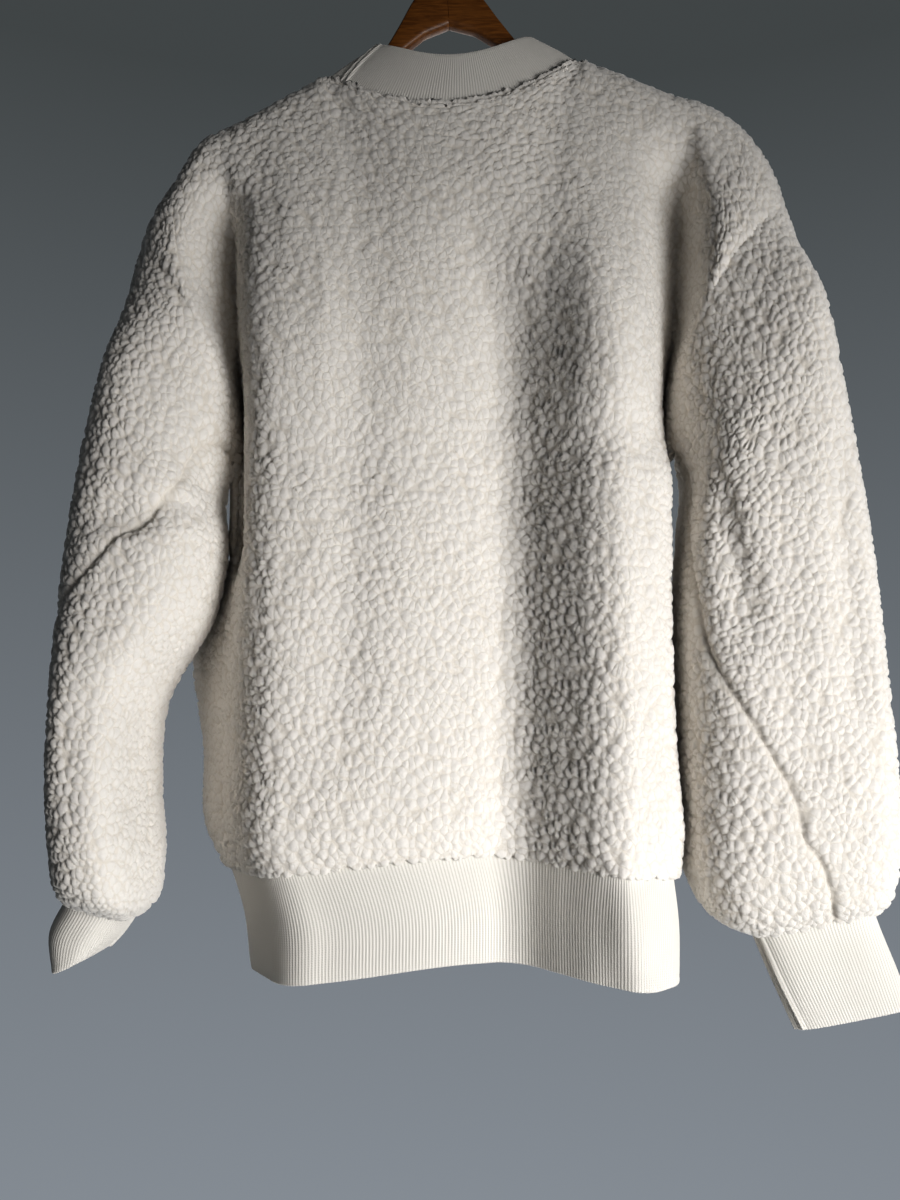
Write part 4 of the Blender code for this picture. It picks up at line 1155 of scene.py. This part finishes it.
def make_hanger(wood):
    """Two flat wooden arms glued together at the middle, where a fine joint shows."""
    top = table("along height", HANGER_TOP)
    under = table("along height", HANGER_UNDER)
    end_along = float(top["along"][-1])
    sections = []
    for along in np.concatenate([[0, 0.25, 0.6], np.linspace(2, end_along, 72)]):
        height = through(top["along"], top["height"], np.array([along]))[0]
        low = np.interp(along, under["along"], under["height"])
        joint = GLUE_JOINT if along < 0.1 else 0.0
        sections.append((along, height - joint, low + joint, HANGER_THICKNESS / MM / 2 - joint))
    end_top, end_under = top["height"][-1], under["height"][-1]
    for share in (0.2, 0.4, 0.6, 0.78, 0.9, 0.97, 0.995):
        narrow = math.sqrt(1 - share**2)
        middle, half = (end_top + end_under) / 2, (end_top - end_under) / 2 * narrow
        reach = end_along + TIP_ROUND / MM * share
        sections.append((reach, middle + half, middle - half, HANGER_THICKNESS / MM / 2 * narrow))
    right = np.array([hanger_ring(*(np.array(section) * MM)) for section in sections])
    left = right[:0:-1] * np.array([-1, 1, 1])
    rings = np.concatenate([left, right])
    rows, columns = rings.shape[:2]
    points = rings.reshape(-1, 3)
    points[:, 0], points[:, 2] = tilted(points[:, 0], points[:, 2])
    faces = grid_faces(rows, columns, True)
    faces += [tuple(range(columns)), tuple(range((rows - 1) * columns, rows * columns))]
    data = mesh_of("hanger_wood", points, faces)
    data.set_sharp_from_angle(angle=math.radians(50))
    return link("hanger_wood", data, wood)


def make_hook(steel):
    """The wire hook: up from the wood, out to +X and over to -X, its end rounded."""
    bend = HOOK_INSIDE + HOOK_WIRE / 2
    centre = -HOOK_INSIDE
    foot = HANGER_TOP[0][1] * MM + HOOK_STANDS
    points = [(0, foot), (0, foot + 8 * MM), (0, centre - bend - 4 * MM)]
    for angle in np.radians(np.arange(-78, 214, 8)):
        points.append((bend * math.cos(angle), centre + bend * math.sin(angle)))
    curve = bpy.data.curves.new("hook_wire", "CURVE")
    curve.dimensions = "3D"
    curve.bevel_depth = HOOK_WIRE / 2
    curve.bevel_resolution = 5
    curve.use_fill_caps = True
    run = curve.splines.new("NURBS")
    run.points.add(len(points) - 1)
    run.use_endpoint_u = True
    run.order_u = 3
    run.resolution_u = 3
    for point, place in zip(run.points, points):
        across, height = tilted(*place)
        point.co = (across, 0, height, 1)
    return link("hook_wire", curve, steel)


# --- Stitches ---


def stitches(name, lines, thread, length=2.6 * MM, gap=0.9 * MM, radius=0.28 * MM, sides=6):
    """Short lengths of thread lying along lines of points, with their ways out of the cloth. Each dips
    into the cloth at its ends and is thinner there."""
    lifts, sizes = (-0.3, 0.5, 0.5, -0.3), (0.5, 1, 1, 0.5)
    turns = np.arange(sides) * math.pi / (sides / 2)
    points, faces = [], []
    for line, out in lines:
        run = run_from_start(line[None], 1)[0]
        for start in np.arange(0, run[-1] - length, length + gap):
            at = np.linspace(start, start + length, len(sizes))
            place, up = read_along(line, run, at), unit(read_along(out, run, at))
            side = unit(np.cross(unit(place[-1] - place[0]), up))
            first = len(points)
            for point, rise, lift, size in zip(place, up, lifts, sizes):
                for turn in turns:
                    around = rise * math.cos(turn) + side[0] * math.sin(turn)
                    points.append(point + rise * lift * radius + around * radius * size)
            last = len(points) - sides
            faces += grid_faces(len(sizes), sides, True, first)
            faces += [range(first, first + sides), range(last, last + sides)]
    return link(name, mesh_of(name, np.array(points) + CLOTH_SHIFT, faces), thread)


# --- Studio ---


def make_studio():
    """A plain pale floor, a plain grey backdrop that darkens upwards, soft lamps and the camera."""
    bpy.ops.mesh.primitive_circle_add(vertices=96, radius=1.7, fill_type="NGON", location=(0, 0.2, -1.95))
    floor = bpy.context.object
    floor.name = "floor"
    floor.data.materials.append(material("pale_floor", roughness=0.8, base_color=linear("#D9D8D5"))[0])

    world = bpy.data.worlds.new("studio")
    world.use_nodes = True
    tree = world.node_tree
    way = add(tree, "ShaderNodeSeparateXYZ", {0: add(tree, "ShaderNodeTexCoord").outputs["Generated"]})
    rise = add(tree, "ShaderNodeMapRange", {"Value": way.outputs["Z"], "From Min": -0.45, "From Max": 0.55})
    grey = {"Factor": rise, "A": linear("#868C93"), "B": linear("#464A4B")}
    grey = add(tree, "ShaderNodeMix", grey, data_type="RGBA")
    tree.links.new(grey.outputs[2], tree.nodes["Background"].inputs["Color"])
    dim = {"Value": way.outputs["Y"], "From Min": -0.3, "From Max": 0.3, "To Min": 0.11}
    dim = add(tree, "ShaderNodeMapRange", dim)
    tree.links.new(dim.outputs[0], tree.nodes["Background"].inputs["Strength"])
    scene = bpy.context.scene
    scene.world = world

    # Columns: name, place, the point it is aimed at, width, spread in degrees, watts.
    for name, place, aim, size, spread, power in (
        ("window", (0.92, -0.75, -1.12), (0.12, 0.14, -0.84), 1.1, 60, 4.2),
        ("front_fill", (0.67, -1.12, -0.68), (0.05, 0, -0.76), 1.0, 120, 1.1),
        ("rear_fill", (0.2, 1.7, -0.5), (0, 0, -0.5), 1.2, 180, 8),
    ):
        lamp = bpy.data.lights.new(name, "AREA")
        lamp.shape = "SQUARE"
        lamp.size = size
        lamp.spread = math.radians(spread)
        lamp.energy = power
        lit = link(name, lamp)
        lit.location = place
        lit.rotation_mode = "QUATERNION"
        lit.rotation_quaternion = (Vector(aim) - Vector(place)).to_track_quat("-Z", "Y")

    eye = bpy.data.cameras.new("camera")
    eye.lens = 31.8
    eye.clip_start = 0.02
    scene.camera = link("camera", eye)
    scene.camera.location = (0.008, -0.78, -0.665)
    scene.camera.rotation_euler = (math.radians(97.4), 0, 0)
    scene.view_settings.view_transform = "Standard"
    scene.view_settings.look = "Medium High Contrast"


# --- All of it ---


def main():
    make_studio()
    fleece, rib, thread = sherpa_fleece(), rib_knit(), sewing_thread()
    pile_nodes = curled_pile()

    back, front = (make_panel(panel, fleece, pile_nodes) for panel in ("back", "front"))
    sleeve_left, left_seam = make_sleeve("left", fleece, pile_nodes)
    sleeve_right, right_seam = make_sleeve("right", fleece, pile_nodes)
    hem_band, neckband = make_hem_band(rib), make_neckband(rib)
    cuff_left, cuff_right = make_cuff("left", rib), make_cuff("right", rib)
    closing_stitches = stitches("closing_stitches", (left_seam, right_seam), thread)
    hanger, hook = make_hanger(varnished_beech()), make_hook(plated_wire())

    for piece, node, slot in (
        (back, "back", "fleece"),
        (front, "front", "fleece"),
        (sleeve_left, "sleeve_left", "fleece"),
        (sleeve_right, "sleeve_right", "fleece"),
        (hem_band, "hem_band", "rib"),
        (neckband, "neckband", "rib"),
        (cuff_left, "cuff_left", "rib"),
        (cuff_right, "cuff_right", "rib"),
        (hanger, "hanger", "wood"),
        (hook, "hanger_hook", "steel"),
    ):
        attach(piece, "root")
        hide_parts(node)
    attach(closing_stitches, "root")


main()
